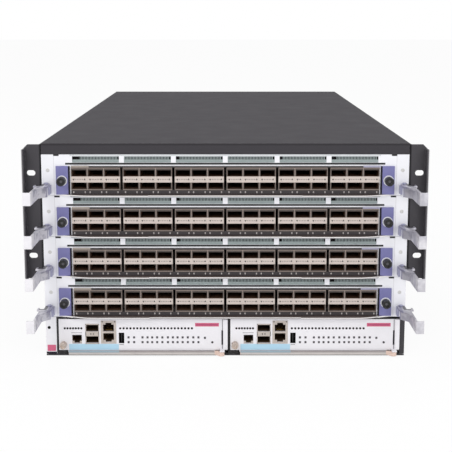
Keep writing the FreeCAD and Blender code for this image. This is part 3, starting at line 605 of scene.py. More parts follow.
COATS: dict[str, Finish] = {
    "cover": CoverCoat("cover coat", tone(70, 68, 72), 0.78, mottle=0.07, grain=0.9,
                       relief=0.05, worn=0.3, sheen=0.12),
    "pan": Finish("pan coat", tone(64, 62, 65), 0.65, mottle=0.08, grain=0.9, relief=0.05,
                  worn=0.3, sheen=0.2),
    "ear": EarCoat("ear coat", tone(68, 66, 70), 0.6, mottle=0.09, grain=0.8, relief=0.05,
                   worn=0.4, sheen=0.25),
    "card": CardCoat("card coat", tone(238, 238, 243), 0.42, mottle=0.025, patch=18,
                     relief=0.008),
    "module": ModuleCoat("module coat", tone(234, 232, 236), 0.42, mottle=0.025, patch=16,
                         relief=0.008),
    "strip_white": Finish("white strip coat", tone(232, 231, 235), 0.45, mottle=0.03,
                          relief=0.01),
    "strip_black": Finish("black strip coat", tone(48, 46, 50), 0.5, mottle=0.1, worn=0.25),
    "plate": PlateCoat("end plate coat", tone(119, 118, 169), 0.45, mottle=0.08, patch=9),
    "cage": CageMetal("cage plating", tone(76, 68, 64), 0.5, 0.15, patch=8, relief=0.01),
    "socket": SocketMetal("socket plating", tone(198, 188, 180), 0.4, 0.4, mottle=0.1, patch=6,
                          relief=0.01),
    "shelf": Spangle("zinc sheet", tone(172, 174, 177), 0.42, 0.75, mottle=0.08),
    "lever": LeverZinc("lever zinc", tone(212, 210, 218), 0.38, 0.2, mottle=0.1, patch=6,
                       relief=0.015, worn=0.8),
    "arm": ArmZinc("arm zinc", tone(212, 206, 202), 0.4, 0.35, mottle=0.1, patch=9,
                   relief=0.01, worn=0.7),
    "knob": KnobCoat("black anodised", tone(34, 33, 36), 0.36, 0.2, mottle=0.15, patch=3,
                     worn=0.25),
    "nickel": Finish("nickel plate", tone(206, 192, 182), 0.28, 0.85, patch=3, relief=0.01),
    "screw": Finish("screw steel", tone(110, 108, 112), 0.38, 0.8, mottle=0.1, patch=3),
    "board": Laminate("board laminate", tone(34, 118, 76), 0.4, mottle=0.08),
    "card_board": CardLaminate("card laminate", tone(34, 118, 76), 0.4, mottle=0.08),
    "moulding": Finish("black moulding", tone(30, 30, 32), mottle=0.15, patch=12, grain=0.4),
    "chip": Finish("chip resin", tone(40, 41, 44), 0.55, patch=5),
    "gold": Finish("contact gold", tone(214, 176, 96), 0.3, 0.9, mottle=0.1, patch=2),
    "vent": Finish("vent screen", tone(150, 161, 161), 0.5, 0.1, patch=7),
    "lens": Finish("lamp lens", tone(196, 196, 194), 0.3, patch=6),
    "scuff": Finish("grey print", tone(126, 116, 112), 0.6, mottle=0.15, patch=2),
    "mark_pale": Finish("pale print", tone(184, 178, 176), mottle=0.1, patch=3),
    "mark": Finish("dark print", tone(46, 40, 40), 0.6, mottle=0.15, patch=2),
    "lamp_off": Finish("lamp grey", tone(70, 66, 70), 0.4, patch=2),
    "blank_warm": Finish("warm label blank", tone(164, 154, 146), 0.6, mottle=0.1, patch=4),
    "blank_cool": Finish("cool label blank", tone(168, 166, 188), 0.6, mottle=0.1, patch=4),
    "rose": Finish("rose print", tone(208, 98, 130), mottle=0.1, patch=4),
    "rose_deep": Finish("deep rose print", tone(178, 72, 108), mottle=0.14, patch=3),
    "sky": Finish("sky print", tone(178, 214, 234), mottle=0.06, patch=9),
    "spot": Finish("rivet spot", tone(212, 211, 210), mottle=0.06, patch=2),
    "gap": Finish("shadow gap", tone(40, 36, 46), 0.6, mottle=0.15, patch=5, sheen=0.2),
    # painted shade: dark finish put in holes, slits and socket mouths
    "dark": Finish("dark opening", tone(16, 15, 16), 0.7, mottle=0.15, patch=5, sheen=0.1),
    "black": Finish("black coat", tone(26, 26, 28), patch=10, worn=0.2),
    "latch": Finish("latch green", tone(52, 124, 96), 0.45, mottle=0.08, patch=5)}


# ---------------------------------------------------------------- the bench


def front(centre: Vector, normal: Vector) -> bool:
    """Faces that look forwards."""
    return normal.y < -0.9


def back(centre: Vector, normal: Vector) -> bool:
    """Faces that look backwards."""
    return normal.y > 0.9


def top(centre: Vector, normal: Vector) -> bool:
    """Faces that look up."""
    return normal.z > 0.9


class Bench:
    """Modelling moves used by every sub-assembly. Places are in millimetres."""

    def __init__(self, frame: dict) -> None:
        """Keeps the frame and makes the materials."""
        self.frame = frame
        self.coats = {key: finish.make() for key, finish in COATS.items()}

    @staticmethod
    def clear() -> None:
        """Leaves edit mode and deselects everything."""
        if bpy.context.object is not None and bpy.context.object.mode != "OBJECT":
            bpy.ops.object.mode_set(mode="OBJECT")
        bpy.ops.object.select_all(action="DESELECT")

    def take(self, piece: Piece) -> None:
        """Makes a piece the only selected and the active object."""
        self.clear()
        piece.select_set(True)
        bpy.context.view_layer.objects.active = piece

    @contextmanager
    def editing(self, piece: Piece, wanted: Test | None = None) -> Iterator[None]:
        """Opens a piece in edit mode with faces selected.

        Args:
            piece: the piece to edit.
            wanted: test on a face's centre and its normal; without one every face is selected.
        """
        self.take(piece)
        bpy.ops.object.mode_set(mode="EDIT")
        bpy.ops.mesh.select_mode(type="FACE")
        bpy.ops.mesh.select_all(action="DESELECT" if wanted else "SELECT")
        if wanted:
            bpy.ops.object.mode_set(mode="OBJECT")
            for face in piece.data.polygons:
                face.select = bool(wanted(face.center / MM, face.normal))
            bpy.ops.object.mode_set(mode="EDIT")
        yield
        bpy.ops.object.mode_set(mode="OBJECT")

    def apply(self, piece: Piece, kind: str, **settings: object) -> Piece:
        """Adds a modifier with these settings and applies it."""
        self.take(piece)
        made = piece.modifiers.new(kind, kind)
        for key, value in settings.items():
            setattr(made, key, value)
        bpy.ops.object.modifier_apply(modifier=made.name)
        return piece

    def bevel(self, piece: Piece, width: float, segments: int = 2) -> Piece:
        """Rounds a piece's sharp edges, if the width isn't 0."""
        if not width:
            return piece
        return self.apply(piece, "BEVEL", width=width * MM, segments=segments,
                          limit_method="ANGLE", angle_limit=math.radians(30),
                          use_clamp_overlap=True)

    def settled(self) -> Piece:
        """Puts the new primitive's place into its mesh."""
        bpy.ops.object.transform_apply(location=True, rotation=True, scale=True)
        return bpy.context.object

    def block(self, low: Iterable[float], high: Iterable[float], rounding: float = 0.1,
              segments: int = 2) -> Piece:
        """Models a block with rounded edges.

        Args:
            low: its lowest corner.
            high: its highest corner.
            rounding: width of its edge rounding.
            segments: steps of the rounding.

        Returns:
            The piece.
        """
        self.clear()
        spans = list(zip(low, high))
        bpy.ops.mesh.primitive_cube_add(size=1, location=[(a + b) / 2 * MM for a, b in spans],
                                        scale=[abs(b - a) * MM for a, b in spans])
        return self.bevel(self.settled(), rounding, segments)

    def disc(self, centre: Iterable[float], radius: float, depth: float, sides: int = 24,
             rounding: float = 0.1, segments: int = 2, upright: bool = False,
             roll: float = 0) -> Piece:
        """Models a disc or rod that lies along the depth axis.

        Args:
            centre: its middle.
            radius: its radius.
            depth: its length along the axis.
            sides: number of its sides.
            rounding: width of its edge rounding.
            segments: steps of the rounding.
            upright: stands it up instead.
            roll: turns it about its axis, in radians.

        Returns:
            The piece.
        """
        self.clear()
        bpy.ops.mesh.primitive_cylinder_add(
            vertices=sides, radius=radius * MM, depth=depth * MM,
            location=[c * MM for c in centre], rotation=(0 if upright else math.pi / 2, roll, 0))
        return self.bevel(self.settled(), rounding, segments)

    def pocket(self, piece: Piece, wanted: Test, wall: float, move: Point) -> Piece:
        """Insets the wanted faces and moves the inner ones.

        Args:
            piece: the piece to edit.
            wanted: test that picks the faces.
            wall: width left round them.
            move: how the inner faces move.

        Returns:
            The piece.
        """
        with self.editing(piece, wanted):
            bpy.ops.mesh.inset(thickness=wall * MM)
            bpy.ops.mesh.extrude_region_move(
                TRANSFORM_OT_translate={"value": [m * MM for m in move]})
        return piece

    def row(self, piece: Piece, count: int, step: Point) -> Piece:
        """Repeats a piece at a constant step, within its own mesh."""
        return self.apply(piece, "ARRAY", use_relative_offset=False, use_constant_offset=True,
                          count=count, constant_offset_displace=[s * MM for s in step])

    def copy(self, piece: Piece, move: Iterable[float] = (0, 0, 0), flip: bool = False) -> Piece:
        """Copies a piece with its own mesh.

        Args:
            piece: what to copy.
            move: how far the copy is moved.
            flip: mirrors it across the middle plane first.

        Returns:
            The copy.
        """
        new = piece.copy()
        new.data = piece.data.copy()
        new.parent = None
        bpy.context.scene.collection.objects.link(new)
        if flip:
            new.data.transform(Matrix.Scale(-1, 4, (1, 0, 0)))
            with self.editing(new):
                bpy.ops.mesh.normals_make_consistent(inside=False)
        new.data.transform(Matrix.Translation([m * MM for m in move]))
        return new

    def join(self, pieces: Iterable[Piece]) -> Piece:
        """Joins pieces into one object."""
        first, *others = pieces
        self.take(first)
        for piece in others:
            piece.select_set(True)
        if others:
            bpy.ops.object.join()
        return bpy.context.object

    def pair(self, piece: Piece) -> Piece:
        """Joins a piece with its mirror image on the other side."""
        return self.join([piece, self.copy(piece, flip=True)])

    def rework(self, node: str, rounding: float) -> Piece:
        """Copies a frame node, merges its mesh and rounds its edges.

        Args:
            node: the frame node whose form the piece keeps.
            rounding: width of its edge rounding.

        Returns:
            The piece.
        """
        piece = self.copy(self.frame["nodes"][node])
        with self.editing(piece):
            bpy.ops.mesh.remove_doubles(threshold=0.002 * MM)
            bpy.ops.mesh.dissolve_limited(angle_limit=math.radians(0.5))
        bpy.ops.mesh.customdata_custom_splitnormals_clear()
        self.bevel(piece, rounding)
        bpy.ops.object.shade_smooth_by_angle(angle=math.radians(40))
        return piece

    def dress(self, piece: Piece, name: str, coat: str, body: str,
              slot: str = "black_paint", replaces: tuple[str, ...] = ()) -> None:
        """Gives a piece its name, its finish and its body.

        Args:
            piece: the piece.
            name: name of the piece.
            coat: key of its finish.
            body: body that it rides on.
            slot: the record's material slot, not used.
            replaces: frame nodes that it stands for.
        """
        piece.name = piece.data.name = name
        piece.data.materials.clear()
        piece.data.materials.append(self.coats[coat])
        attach(piece, body)
        if replaces:
            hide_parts(*replaces)
        log.info("%s rides on %s in %s", piece.name, body, coat)

    def coat(self, node: str, coat: str) -> None:
        """Gives a frame node that stays visible its finish."""
        mesh = self.frame["nodes"][node].data
        if not mesh.materials:
            mesh.materials.append(None)
        for index in range(len(mesh.materials)):
            mesh.materials[index] = self.coats[coat]


def place(node: str) -> tuple[Vector, Vector]:
    """Lowest and highest corner of a frame node in millimetres."""
    low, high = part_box(node)
    return low / MM, high / MM


@dataclass
class Kit:
    """Pieces modelled on one body, at places counted from an origin, and copied to others."""

    bench: Bench
    origin: Point = field(init=False, default=(0.0, 0.0, 0.0))
    moves: dict[str, Iterable[float]] = field(init=False, default_factory=dict)

    def at(self, point: Point) -> list[float]:
        """Turns a place counted from the origin into one in the frame."""
        return [start + value for start, value in zip(self.origin, point)]

    def block(self, low: Point, high: Point, *rounding: float) -> Piece:
        """Models a block between two places counted from the origin."""
        return self.bench.block(self.at(low), self.at(high), *rounding)

    def disc(self, centre: Point, *sizes: float, **turned: object) -> Piece:
        """Models a disc at a place counted from the origin."""
        return self.bench.disc(self.at(centre), *sizes, **turned)

    def keep(self, suffix: str, piece: Piece, coat: str,
             slot: str = "black_paint", node: str = "") -> None:
        """Copies a piece to the other bodies and dresses all of them.

        Args:
            suffix: ending of the pieces' names.
            piece: the piece on the first body.
            coat: key of its finish.
            slot: the record's material slot.
            node: ending of the frame nodes that the pieces stand for and ride on.
        """
        first, *others = self.moves
        copies = {owner: self.bench.copy(piece, self.moves[owner]) for owner in others}
        for owner, copy in {**copies, first: piece}.items():
            body = f"{owner}_{node}" if node else owner
            self.bench.dress(copy, f"{owner}_{suffix}", coat, body, slot,
                             (body,) if node else ())


# ---------------------------------------------------------------- port cards


@dataclass
class CardKit(Kit):
    """What the kits of the port cards share: their count and where the cards stand."""

    cards: int = 4
    row_gap: float = 0.4

    def __post_init__(self) -> None:
        """Reads where the cards stand."""
        low, second = place("card_1_panel")[0], place("card_2_panel")[0]
        pitch = second.z - low.z
        self.origin = (0, place("card_1_end_plates")[1].y, low.z - self.row_gap / 2)
        self.moves = {f"card_{n}": (0, 0, pitch * (n - 1)) for n in range(1, self.cards + 1)}


@dataclass
class PortCard(CardKit):
    """Details of a port card."""

    banks: int = 6
    ports: int = 3
    bank_pitch: float = 62.0
    port_pitch: float = 19.6
    port_height: float = 7.7
    row_low: float = 9.0
    row_step: float = 15.0
    lamp_height: float = 4.8
    lamp_out: float = 6.9
    arrow_out: float = 6.6
    window: float = 56.0
    window_low: float = 40.3
    window_high: float = 47.9
    slit_pitch: float = 1.75
    slit_share: float = 0.52
    band_high: float = 44.0
    board_top: float = 6.1

    def __post_init__(self) -> None:
        """Reads where the banks stand."""
        super().__post_init__()
        low, high = place("card_1_ports")
        self.half, self.middle = high.x, self.port_pitch / 2 - high.x
        self.mouth, self.cage_back = low.y - self.origin[1], high.y - self.origin[1]

    def over_banks(self, piece: Piece) -> Piece:
        """Repeats a piece of the first bank over all banks."""
        return self.bench.row(piece, self.banks, (self.bank_pitch, 0, 0))

    def over_ports(self, piece: Piece, *along: float) -> Piece:
        """Repeats a piece of the first port over all ports.

        Args:
            piece: the piece.
            along: how often it stands in a port and at which step.

        Returns:
            The piece.
        """
        if along:
            self.bench.row(piece, along[0], (along[1], 0, 0))
        return self.over_banks(self.bench.row(piece, self.ports, (self.port_pitch, 0, 0)))

    def vents(self) -> None:
        """Screens in the air windows: upright bars over a closed band, with a dark baffle and
        stops as painted shade behind the slits.
        """
        low, high = self.window_low, self.window_high
        left = -(self.banks * self.window + (self.banks - 1) * (self.bank_pitch - self.window)) / 2
        right = left + self.window
        bar = self.block((left + 0.4, 0.12, low + 0.1),
                         (left + 0.4 + self.slit_pitch * self.slit_share, 0.72, high - 0.1),
                         0.12, 1)
        self.bench.row(bar, int((self.window - 0.4) / self.slit_pitch), (self.slit_pitch, 0, 0))
        closed = [self.block((left + 0.1, 0.32, bottom), (right - 0.1, 0.82, edge), 0.1, 1)
                  for bottom, edge in ((low + 0.1, self.band_high), (high - 0.35, high - 0.05))]
        self.keep("vent_screen", self.over_banks(self.bench.join([bar, *closed])), "vent",
                  "zinc_sheet")
        # dark baffle as painted shade seen through the slits
        baffle = self.block((left, 3.0, low - 1), (right, 3.6, high + 0.6), 0.2)
        self.bench.pocket(baffle, front, 1.0, (0, 0.4, 0))
        self.keep("vent_baffle", self.over_banks(baffle), "dark")
        # dark stops as painted shade in parts of the slits
        starts = ((left + self.bank_pitch * bank, reach)
                  for bank, reach in ((0, 9.5), (2, 4.5), (4, 3.0), (5, 6.0)))
        self.keep("vent_stops", self.bench.join(
            self.block((x + 0.1, 0.05, self.band_high + 0.1), (x + reach, 0.5, high - 0.1), 0.15)
            for x, reach in starts), "dark")

    def connectors(self) -> None:
        """Receptacles at the back of the cages, each with a slot, and springs in their mouths."""
        middle, low, high = self.middle, self.row_low, self.row_low + self.port_height
        rear = self.cage_back - 1.6
        shell = self.block((middle - 7.6, rear - 11, low + 0.7), (middle + 7.6, rear, high - 0.7),
                           0.3, 1)
        self.bench.pocket(shell, front, 2.1, (0, 7, 0))
        spring = self.block((middle - 5.5, 2, high - 0.9), (middle - 3.7, 13, high - 0.2), 0.1, 1)
        for piece in (shell, spring):
            self.bench.row(piece, 2, (0, 0, self.row_step))
        self.keep("receptacles", self.over_ports(shell), "moulding")
        self.keep("springs", self.over_ports(spring, 3, 4.6), "cage", "port_metal")

    def prints(self) -> None:
        """Arrows and lamp slots on the strips between the two rows of ports."""
        strip, y = self.row_low + (self.port_height + self.row_step) / 2, self.mouth
        arrows = self.bench.join(
            self.disc((self.middle + self.arrow_out * side.value, y, strip), 1.45, 0.12, 3, 0.03,
                      1, roll=math.pi / 2 * (1 - side.value)) for side in Side)
        self.keep("port_arrows", self.over_ports(arrows), "mark")
        slot = self.block((self.middle - 4.4, y - 0.05, strip - 0.55),
                          (self.middle - 3.4, y + 0.05, strip + 0.55), 0.04, 1)
        self.keep("port_slots", self.over_ports(slot, 5, 1.95), "scuff", "port_metal")

    def lamps(self) -> None:
        """Two lamp lenses below each pair of ports."""
        x, z = self.middle - self.lamp_out, self.lamp_height
        lens = self.block((x - 0.7, -2.2, z - 1.1), (x + 0.7, -1.9, z + 1.1), 0.2)
        self.keep("port_lamps", self.over_ports(lens, 2, self.lamp_out * 2), "mark_pale",
                  "white_paint")

    def trim(self) -> None:
        """Painted shade in the gaps beside the banks, label blanks and the rivet spots."""
        # dark strip as painted shade in the gap beside each bank
        gap = self.block((self.half + 1.6, -0.6, 2.0), (self.half + 3.5, -0.02, 36.1), 0.15)
        self.keep("bank_gaps", self.bench.pair(gap), "gap")
        for word, left, right, coat in (("left", -184.3, -163, "blank_warm"),
                                        ("right", 165, 186, "blank_cool")):
            blank = self.block((left, -2.3, 34.7), (right, -1.98, 36.9), 0.12)
            self.keep(f"label_blank_{word}", blank, coat, "port_metal")
        spot = self.disc((212.5, -0.02, 31), 2.3, 0.24, 20, 0.08)
        self.bench.pocket(spot, front, 0.7, (0, 0.06, 0))
        self.keep("rivet_spots", self.bench.pair(spot), "spot", "white_paint")

    def parts_on_board(self) -> None:
        """Memory packages, capacitors and chokes in front of the heat sinks."""
        row, z = self.bench.row, self.board_top
        y = place("card_1_board")[0].y - self.origin[1]
        chip = self.block((-168, y + 14, z), (-155, y + 27, z + 1.4), 0.15)
        row(row(chip, 14, (24.6, 0, 0)), 2, (0, 26, 0))
        big = self.block((-131, y + 84, z), (-103, y + 112, z + 2.4), 0.4)
        row(self.bench.pocket(big, top, 3, (0, 0, 0.5)), 3, (120, 0, 0))
        self.keep("chips", self.bench.join([chip, big]), "chip")
        can = self.disc((-172, y + 78, z + 4.5), 3.6, 9, 16, 0.5, upright=True)
        row(row(can, 3, (0, 11, 0)), 4, (114.5, 0, 0))
        self.keep("capacitors", can, "lens", "white_paint")
        choke = self.block((-62, y + 80, z), (-50, y + 92, z + 6), 0.8)
        row(row(choke, 2, (0, 16, 0)), 2, (118, 0, 0))
        self.keep("chokes", choke, "cage", "port_metal")

    def build(self) -> None:
        for step in (self.vents, self.connectors, self.prints, self.lamps, self.trim,
                     self.parts_on_board):
            step()
        for card in self.moves:
            for node, coat in (("panel", "card"), ("ports", "cage"), ("end_plates", "plate"),
                               ("board", "card_board")):
                self.bench.coat(f"{card}_{node}", coat)


@dataclass
class EjectorLevers(CardKit):
    """Ejector levers of the cards: the frame's form with rounded edges."""

    rounding: float = 0.45

    def build(self) -> None:
        """Reworks one left and one right lever and copies them up the rows."""
        for side in Side:
            lever = self.bench.rework(f"card_1_lever_{side.word}", self.rounding)
            self.keep(f"ejector_{side.word}", lever, "lever", "lever_zinc",
                      f"lever_{side.word}")


@dataclass
class ThumbScrews(CardKit):
    """Knurled captive screws of cards and modules."""

    shank: float = 2.0
    notches: int = 36
    card_knob: float = 7.5
    module_knob: float = 6.0

    def knob(self, node: str, length: float) -> Piece:
        """Models one screw in the place of a frame node.

        Args:
            node: the frame node that it stands for.
            length: length of its knob.

        Returns:
            The piece.
        """
        bench = self.bench
        low, high = place(node)
        x, z, radius = (low.x + high.x) / 2, (low.z + high.z) / 2, (high.z - low.z) / 2
        end, step = low.y + length, 2 * math.pi / self.notches

        def boss(centre: Vector, normal: Vector) -> bool:
            """The front face round the axis."""
            return normal.y < -0.9 and (centre.xz - Vector((x, z))).length < 0.1

        def tooth(centre: Vector, normal: Vector) -> bool:
            """Every other face of the rim."""
            out = centre.xz - Vector((x, z))
            return (abs(normal.y) < 0.1 and centre.y < end and out.length > radius * 0.9
                    and int(math.floor(math.atan2(out.y, out.x) / step + 100)) % 2 == 0)

        head = bench.disc((x, low.y + length / 2, z), radius, length, self.notches, 0)
        # rim, dish and driver socket: wall as a share of the radius, then depth
        for wall, deep in ((0.16, 0), (0.1, 0.9), (0.22, 1.3)):
            bench.pocket(head, boss, radius * wall, (0, deep, 0))
        with bench.editing(head, tooth):
            bpy.ops.mesh.inset(thickness=0.16 * MM, depth=-0.3 * MM, use_individual=True)
        bench.bevel(head, 0.12)
        reach = high.y - end
        rod = bench.disc((x, end + reach / 2, z), self.shank, reach, 20, 0.3)
        collar = bench.disc((x, end - 0.6, z), radius * 0.72, 1.4, 24, 0.3)
        return bench.join([head, rod, collar])

    def build(self) -> None:
        """Models a card's screw and a module's screw and copies them."""
        for nodes, length, coat, slot in (
                ([f"{card}_screw_{side.word}" for card in self.moves for side in Side],
                 self.card_knob, "knob", "knob_black"),
                (["mpu_1_screw", "mpu_2_screw"], self.module_knob, "nickel", "nickel")):
            first, low = self.knob(nodes[0], length), place(nodes[0])[0]
            for node in (*nodes[1:], nodes[0]):
                piece = first if node == nodes[0] else self.bench.copy(
                    first, place(node)[0] - low)
                self.bench.dress(piece, node.replace("screw", "knob"), coat, node, slot, (node,))


# ---------------------------------------------------------------- management modules


@dataclass
class ManagementModule(Kit):
    """Details of a management module."""

    hole_rows: tuple[tuple[float, float, int], ...] = ((7.4, 3.38, 7), (75.4, 4.19, 22))
    hole_height: float = 34.6
    hole: float = 1.35
    lamp_places: tuple[float, ...] = (85.5, 92.3, 102.6, 108.8, 114.5, 120.6, 127, 133.8, 140,
                                      145.7, 151.9, 158.3, 165, 171.3)
    lamp_rows: tuple[float, float] = (16.9, 23.0)
    single_lamp: tuple[float, float] = (179.3, 22.4)
    board_low: float = 7.4
    board_high: float = 9.0

    def __post_init__(self) -> None:
        """Reads where the modules stand."""
        low, high = place("mpu_1_panel")
        self.origin = (low.x, place("card_1_end_plates")[1].y, 0)
        self.right, self.rear = high.x - low.x, high.y - self.origin[1]
        self.moves = {"mpu_1": (0, 0, 0), "mpu_2": (place("mpu_2_panel")[0].x - low.x, 0, 0)}

    def plates(self, places: Iterable[tuple[float, float, float, float]], proud: float = 0.12,
               sunk: float = 0.0, rounding: float = 0.06) -> Piece:
        """Models thin plates on the faceplate as one piece.

        Args:
            places: left and right edge from the module's left edge, lower and upper edge.
            proud: how far they stand out of the faceplate.
            sunk: how far they reach into it.
            rounding: width of their edge rounding.

        Returns:
            The piece.
        """
        return self.bench.join(
            self.block((x0, -proud, z0), (x1, max(sunk, 0.02), z1), rounding, 1)
            for x0, x1, z0, z1 in places)

    def holes(self) -> None:
        """Rows of round air holes above the ports, drawn as dark discs of painted shade."""
        rows = []
        for start, pitch, count in self.hole_rows:
            hole = self.disc((start, -0.06, self.hole_height), self.hole, 0.24, 16, 0)
            self.bench.pocket(hole, front, 0.2, (0, 0.08, 0))
            rows.append(self.bench.row(hole, count, (pitch, 0, 0)))
        # the holes are dark discs of painted shade
        self.keep("air_holes", self.bench.join(rows), "dark")

    def sockets(self) -> None:
        """Frames, corner fillers, contacts and tongues of the sockets."""
        bench = self.bench
        # two stacked cages, then the pair of network sockets
        frames = self.plates((
            (32.6, 49.4, 14.6, 15.9), (32.6, 49.4, 24.5, 30.5), (32.6, 49.4, 39.1, 40.3),
            (32.6, 33.4, 14.6, 40.3), (48.6, 49.4, 14.6, 40.3), (51.6, 54.4, 15.2, 44.4),
            (67.6, 70.4, 15.2, 44.4), (54.4, 67.6, 15.2, 17.2), (54.4, 67.6, 28.4, 30.6),
            (54.4, 67.6, 41.8, 44.4)), 0.5)
        # blocks in the corners of the three network and console sockets
        fillers = self.plates((
            (16.3, 19.0, 15.9, 18.4), (25.4, 28.1, 15.9, 18.4), (54.4, 57.4, 17.2, 19.6),
            (64.6, 67.6, 17.2, 19.6), (54.4, 57.4, 39.2, 41.8), (64.6, 67.6, 39.2, 41.8)),
            0.02, 6.0, 0.15)
        self.keep("socket_frames", bench.join([frames, fillers]), "socket", "port_metal")
        contacts = (self.block((x, 4, z - 0.3), (x + 0.5, 15, z + 0.3), 0.08, 1)
                    for x, z in ((18.2, 25.6), (57.2, 27.8), (57.2, 31.3)))
        self.keep("contacts", bench.row(bench.join(contacts), 8, (1.05, 0, 0)), "gold", "nickel")
        self.keep("bus_tongue", self.plates([(76.2, 77.4, 17, 27.4)], -1.0, 5, 0.2), "moulding")
        # dark lining of the bus socket's mouth as painted shade
        rim = self.plates([(73.6, 80.1, 15.6, 28.9)], -0.2, 6.0, 0.1)
        self.keep("bus_rim", bench.pocket(rim, front, 0.5, (0, 4, 0)), "dark")
        self.keep("socket_lamps", self.plates(
            [(x, x + 1.7, 42.3, 43.8) for x in (52.6, 67.9)], 0.62, 0, 0.15), "lamp_off")
        self.keep("cage_marks", self.plates(
            [(x, x + 1.3, 26.6, 28.4) for x in (38.6, 41.8)], 0.56, 0, 0.1), "mark")

    def lamps(self) -> None:
        """Two rows of status lamps, a single one and the reset button."""
        places = [*((x, z) for z in self.lamp_rows for x in self.lamp_places), self.single_lamp]
        self.keep("status_lamps", self.plates(
            [(x - 1.25, x + 1.25, z - 1.35, z + 1.35) for x, z in places], 0.25, 0, 0.2),
            "lamp_off")
        button = self.disc((188.4, -0.1, 16.8), 1.4, 0.7, 20, 0.1)
        self.keep("reset_button", self.bench.pocket(button, front, 0.4, (0, 0.4, 0)), "lamp_off")

    def prints(self) -> None:
        """Coloured bands, bare of lettering, and the slot beside the column in painted shade."""
        for name, span, coat, *sizes in (
                ("rose_bar", (167.3, 196.5, 36.9, 41.4), "rose"),
                ("rose_core", (168.6, 195.2, 38.2, 39.9), "rose_deep", 0.16, 0, 0.04),
                ("sky_band", (12.4, 73.4, 7.2, 14.6), "sky")):
            self.keep(name, self.plates([span], *sizes), coat, "white_paint")
        # dark plates as painted shade in the slot beside the column
        slot = self.plates([(199.6, 201.6, 13.5, 32)], 0.15, 0, 0.2)
        line = self.plates([(200.4, 201.0, 7.2, 46)], 0.1, 0, 0.04)
        self.keep("column_slot", self.bench.join([slot, line]), "gap")
        rules = ((15, 13.5, 28.6), (16.3, 11.8, 15.3), (74, 5.6, 13.4))
        self.keep("socket_rules", self.plates(
            [(x, x + w, z, z + 0.5) for x, w, z in rules], 0.08, 0, 0.02), "mark")

    def inside(self) -> None:
        """Circuit board of the module with its packages, heat sink and edge connector."""
        bench, row, rear = self.bench, self.bench.row, self.rear
        x0, x1, low, z = 14, self.right - 13, self.board_low, self.board_high
        self.keep("circuit_board", self.block((x0, 48, low), (x1, rear - 4, z), 0.2), "board",
                  "circuit_board")
        posts = self.disc((x0 + 8, 58, low - 0.9), 3, 1.8, 12, 0.1, upright=True)
        row(row(posts, 2, (x1 - x0 - 16, 0, 0)), 3, (0, 140, 0))
        self.keep("board_posts", posts, "nickel", "nickel")
        chip = self.block((34, 70, z), (48, 84, z + 1.4), 0.15)
        row(row(chip, 6, (24, 0, 0)), 2, (0, 24, 0))
        main_chip = self.block((74, 160, z), (114, 200, z + 2.4), 0.4)
        bench.pocket(main_chip, top, 4, (0, 0, 0.6))
        plug = self.block((54, rear - 18, z), (134, rear - 6, z + 10.4), 0.4)
        bench.pocket(plug, back, 1.6, (0, -8, 0))
        self.keep("packages", bench.join([chip, main_chip, plug]), "chip")
        fin = self.block((130, 160, z), (131.4, 214, z + 14.4), 0.2)
        foot = self.block((129, 159, z), (167, 215, z + 2.4), 0.2)
        self.keep("heat_sink", bench.join([row(fin, 9, (4.4, 0, 0)), foot]), "lens",
                  "zinc_sheet")

    def build(self) -> None:
        for step in (self.holes, self.sockets, self.lamps, self.prints, self.inside):
            step()
        for module in self.moves:
            self.bench.coat(f"{module}_panel", "module")
            self.bench.coat(f"{module}_ports", "socket")
            lever = f"{module}_lever"
            self.bench.dress(self.bench.rework(lever, 0.3), f"{module}_arm", "arm", lever,
                             "arm_metal", (lever,))


# ---------------------------------------------------------------- enclosure and rear


@dataclass
class Enclosure(Kit):
    """Case, ears and the end strips of the management row."""

    hole_at: Point = (-216.0, -0.08, 35.6)

    def build(self) -> None:
        """Adds the hole and foot of the left strip in painted shade, its patch, and coats the
        frame's nodes.
        """
        low, high = place("end_strip_left")
        self.origin, self.moves = (0, low.y, 0), {"chassis": (0, 0, 0)}
        hole = self.disc(self.hole_at, 1.9, 0.3, 20, 0)
        foot = self.block((low.x + 0.1, -0.14, low.z + 0.05), (high.x - 0.1, 0.02, 4.8), 0.06, 1)
        patch = self.block((low.x + 1.4, -0.12, 5.6), (high.x - 1.2, 0.02, 13.6), 0.06, 1)
        self.bench.pocket(hole, front, 0.25, (0, 0.12, 0))
        # hole and foot in painted shade
        self.bench.dress(hole, "strip_hole", "dark", "chassis")
        self.bench.dress(foot, "strip_foot", "gap", "chassis")
        self.bench.dress(patch, "strip_patch", "rose", "chassis", "white_paint")
        for node, coat in (("top_cover", "cover"), ("lower_pan", "pan"), ("card_cage", "shelf"),
                           ("end_strip_left", "strip_white"), ("end_strip_right", "strip_black"),
                           ("backplane", "board"), ("rear_sleeve", "shelf"),
                           ("rack_ear_left", "ear"), ("rack_ear_right", "ear"),
                           ("case_screws", "screw")):
            self.bench.coat(node, coat)


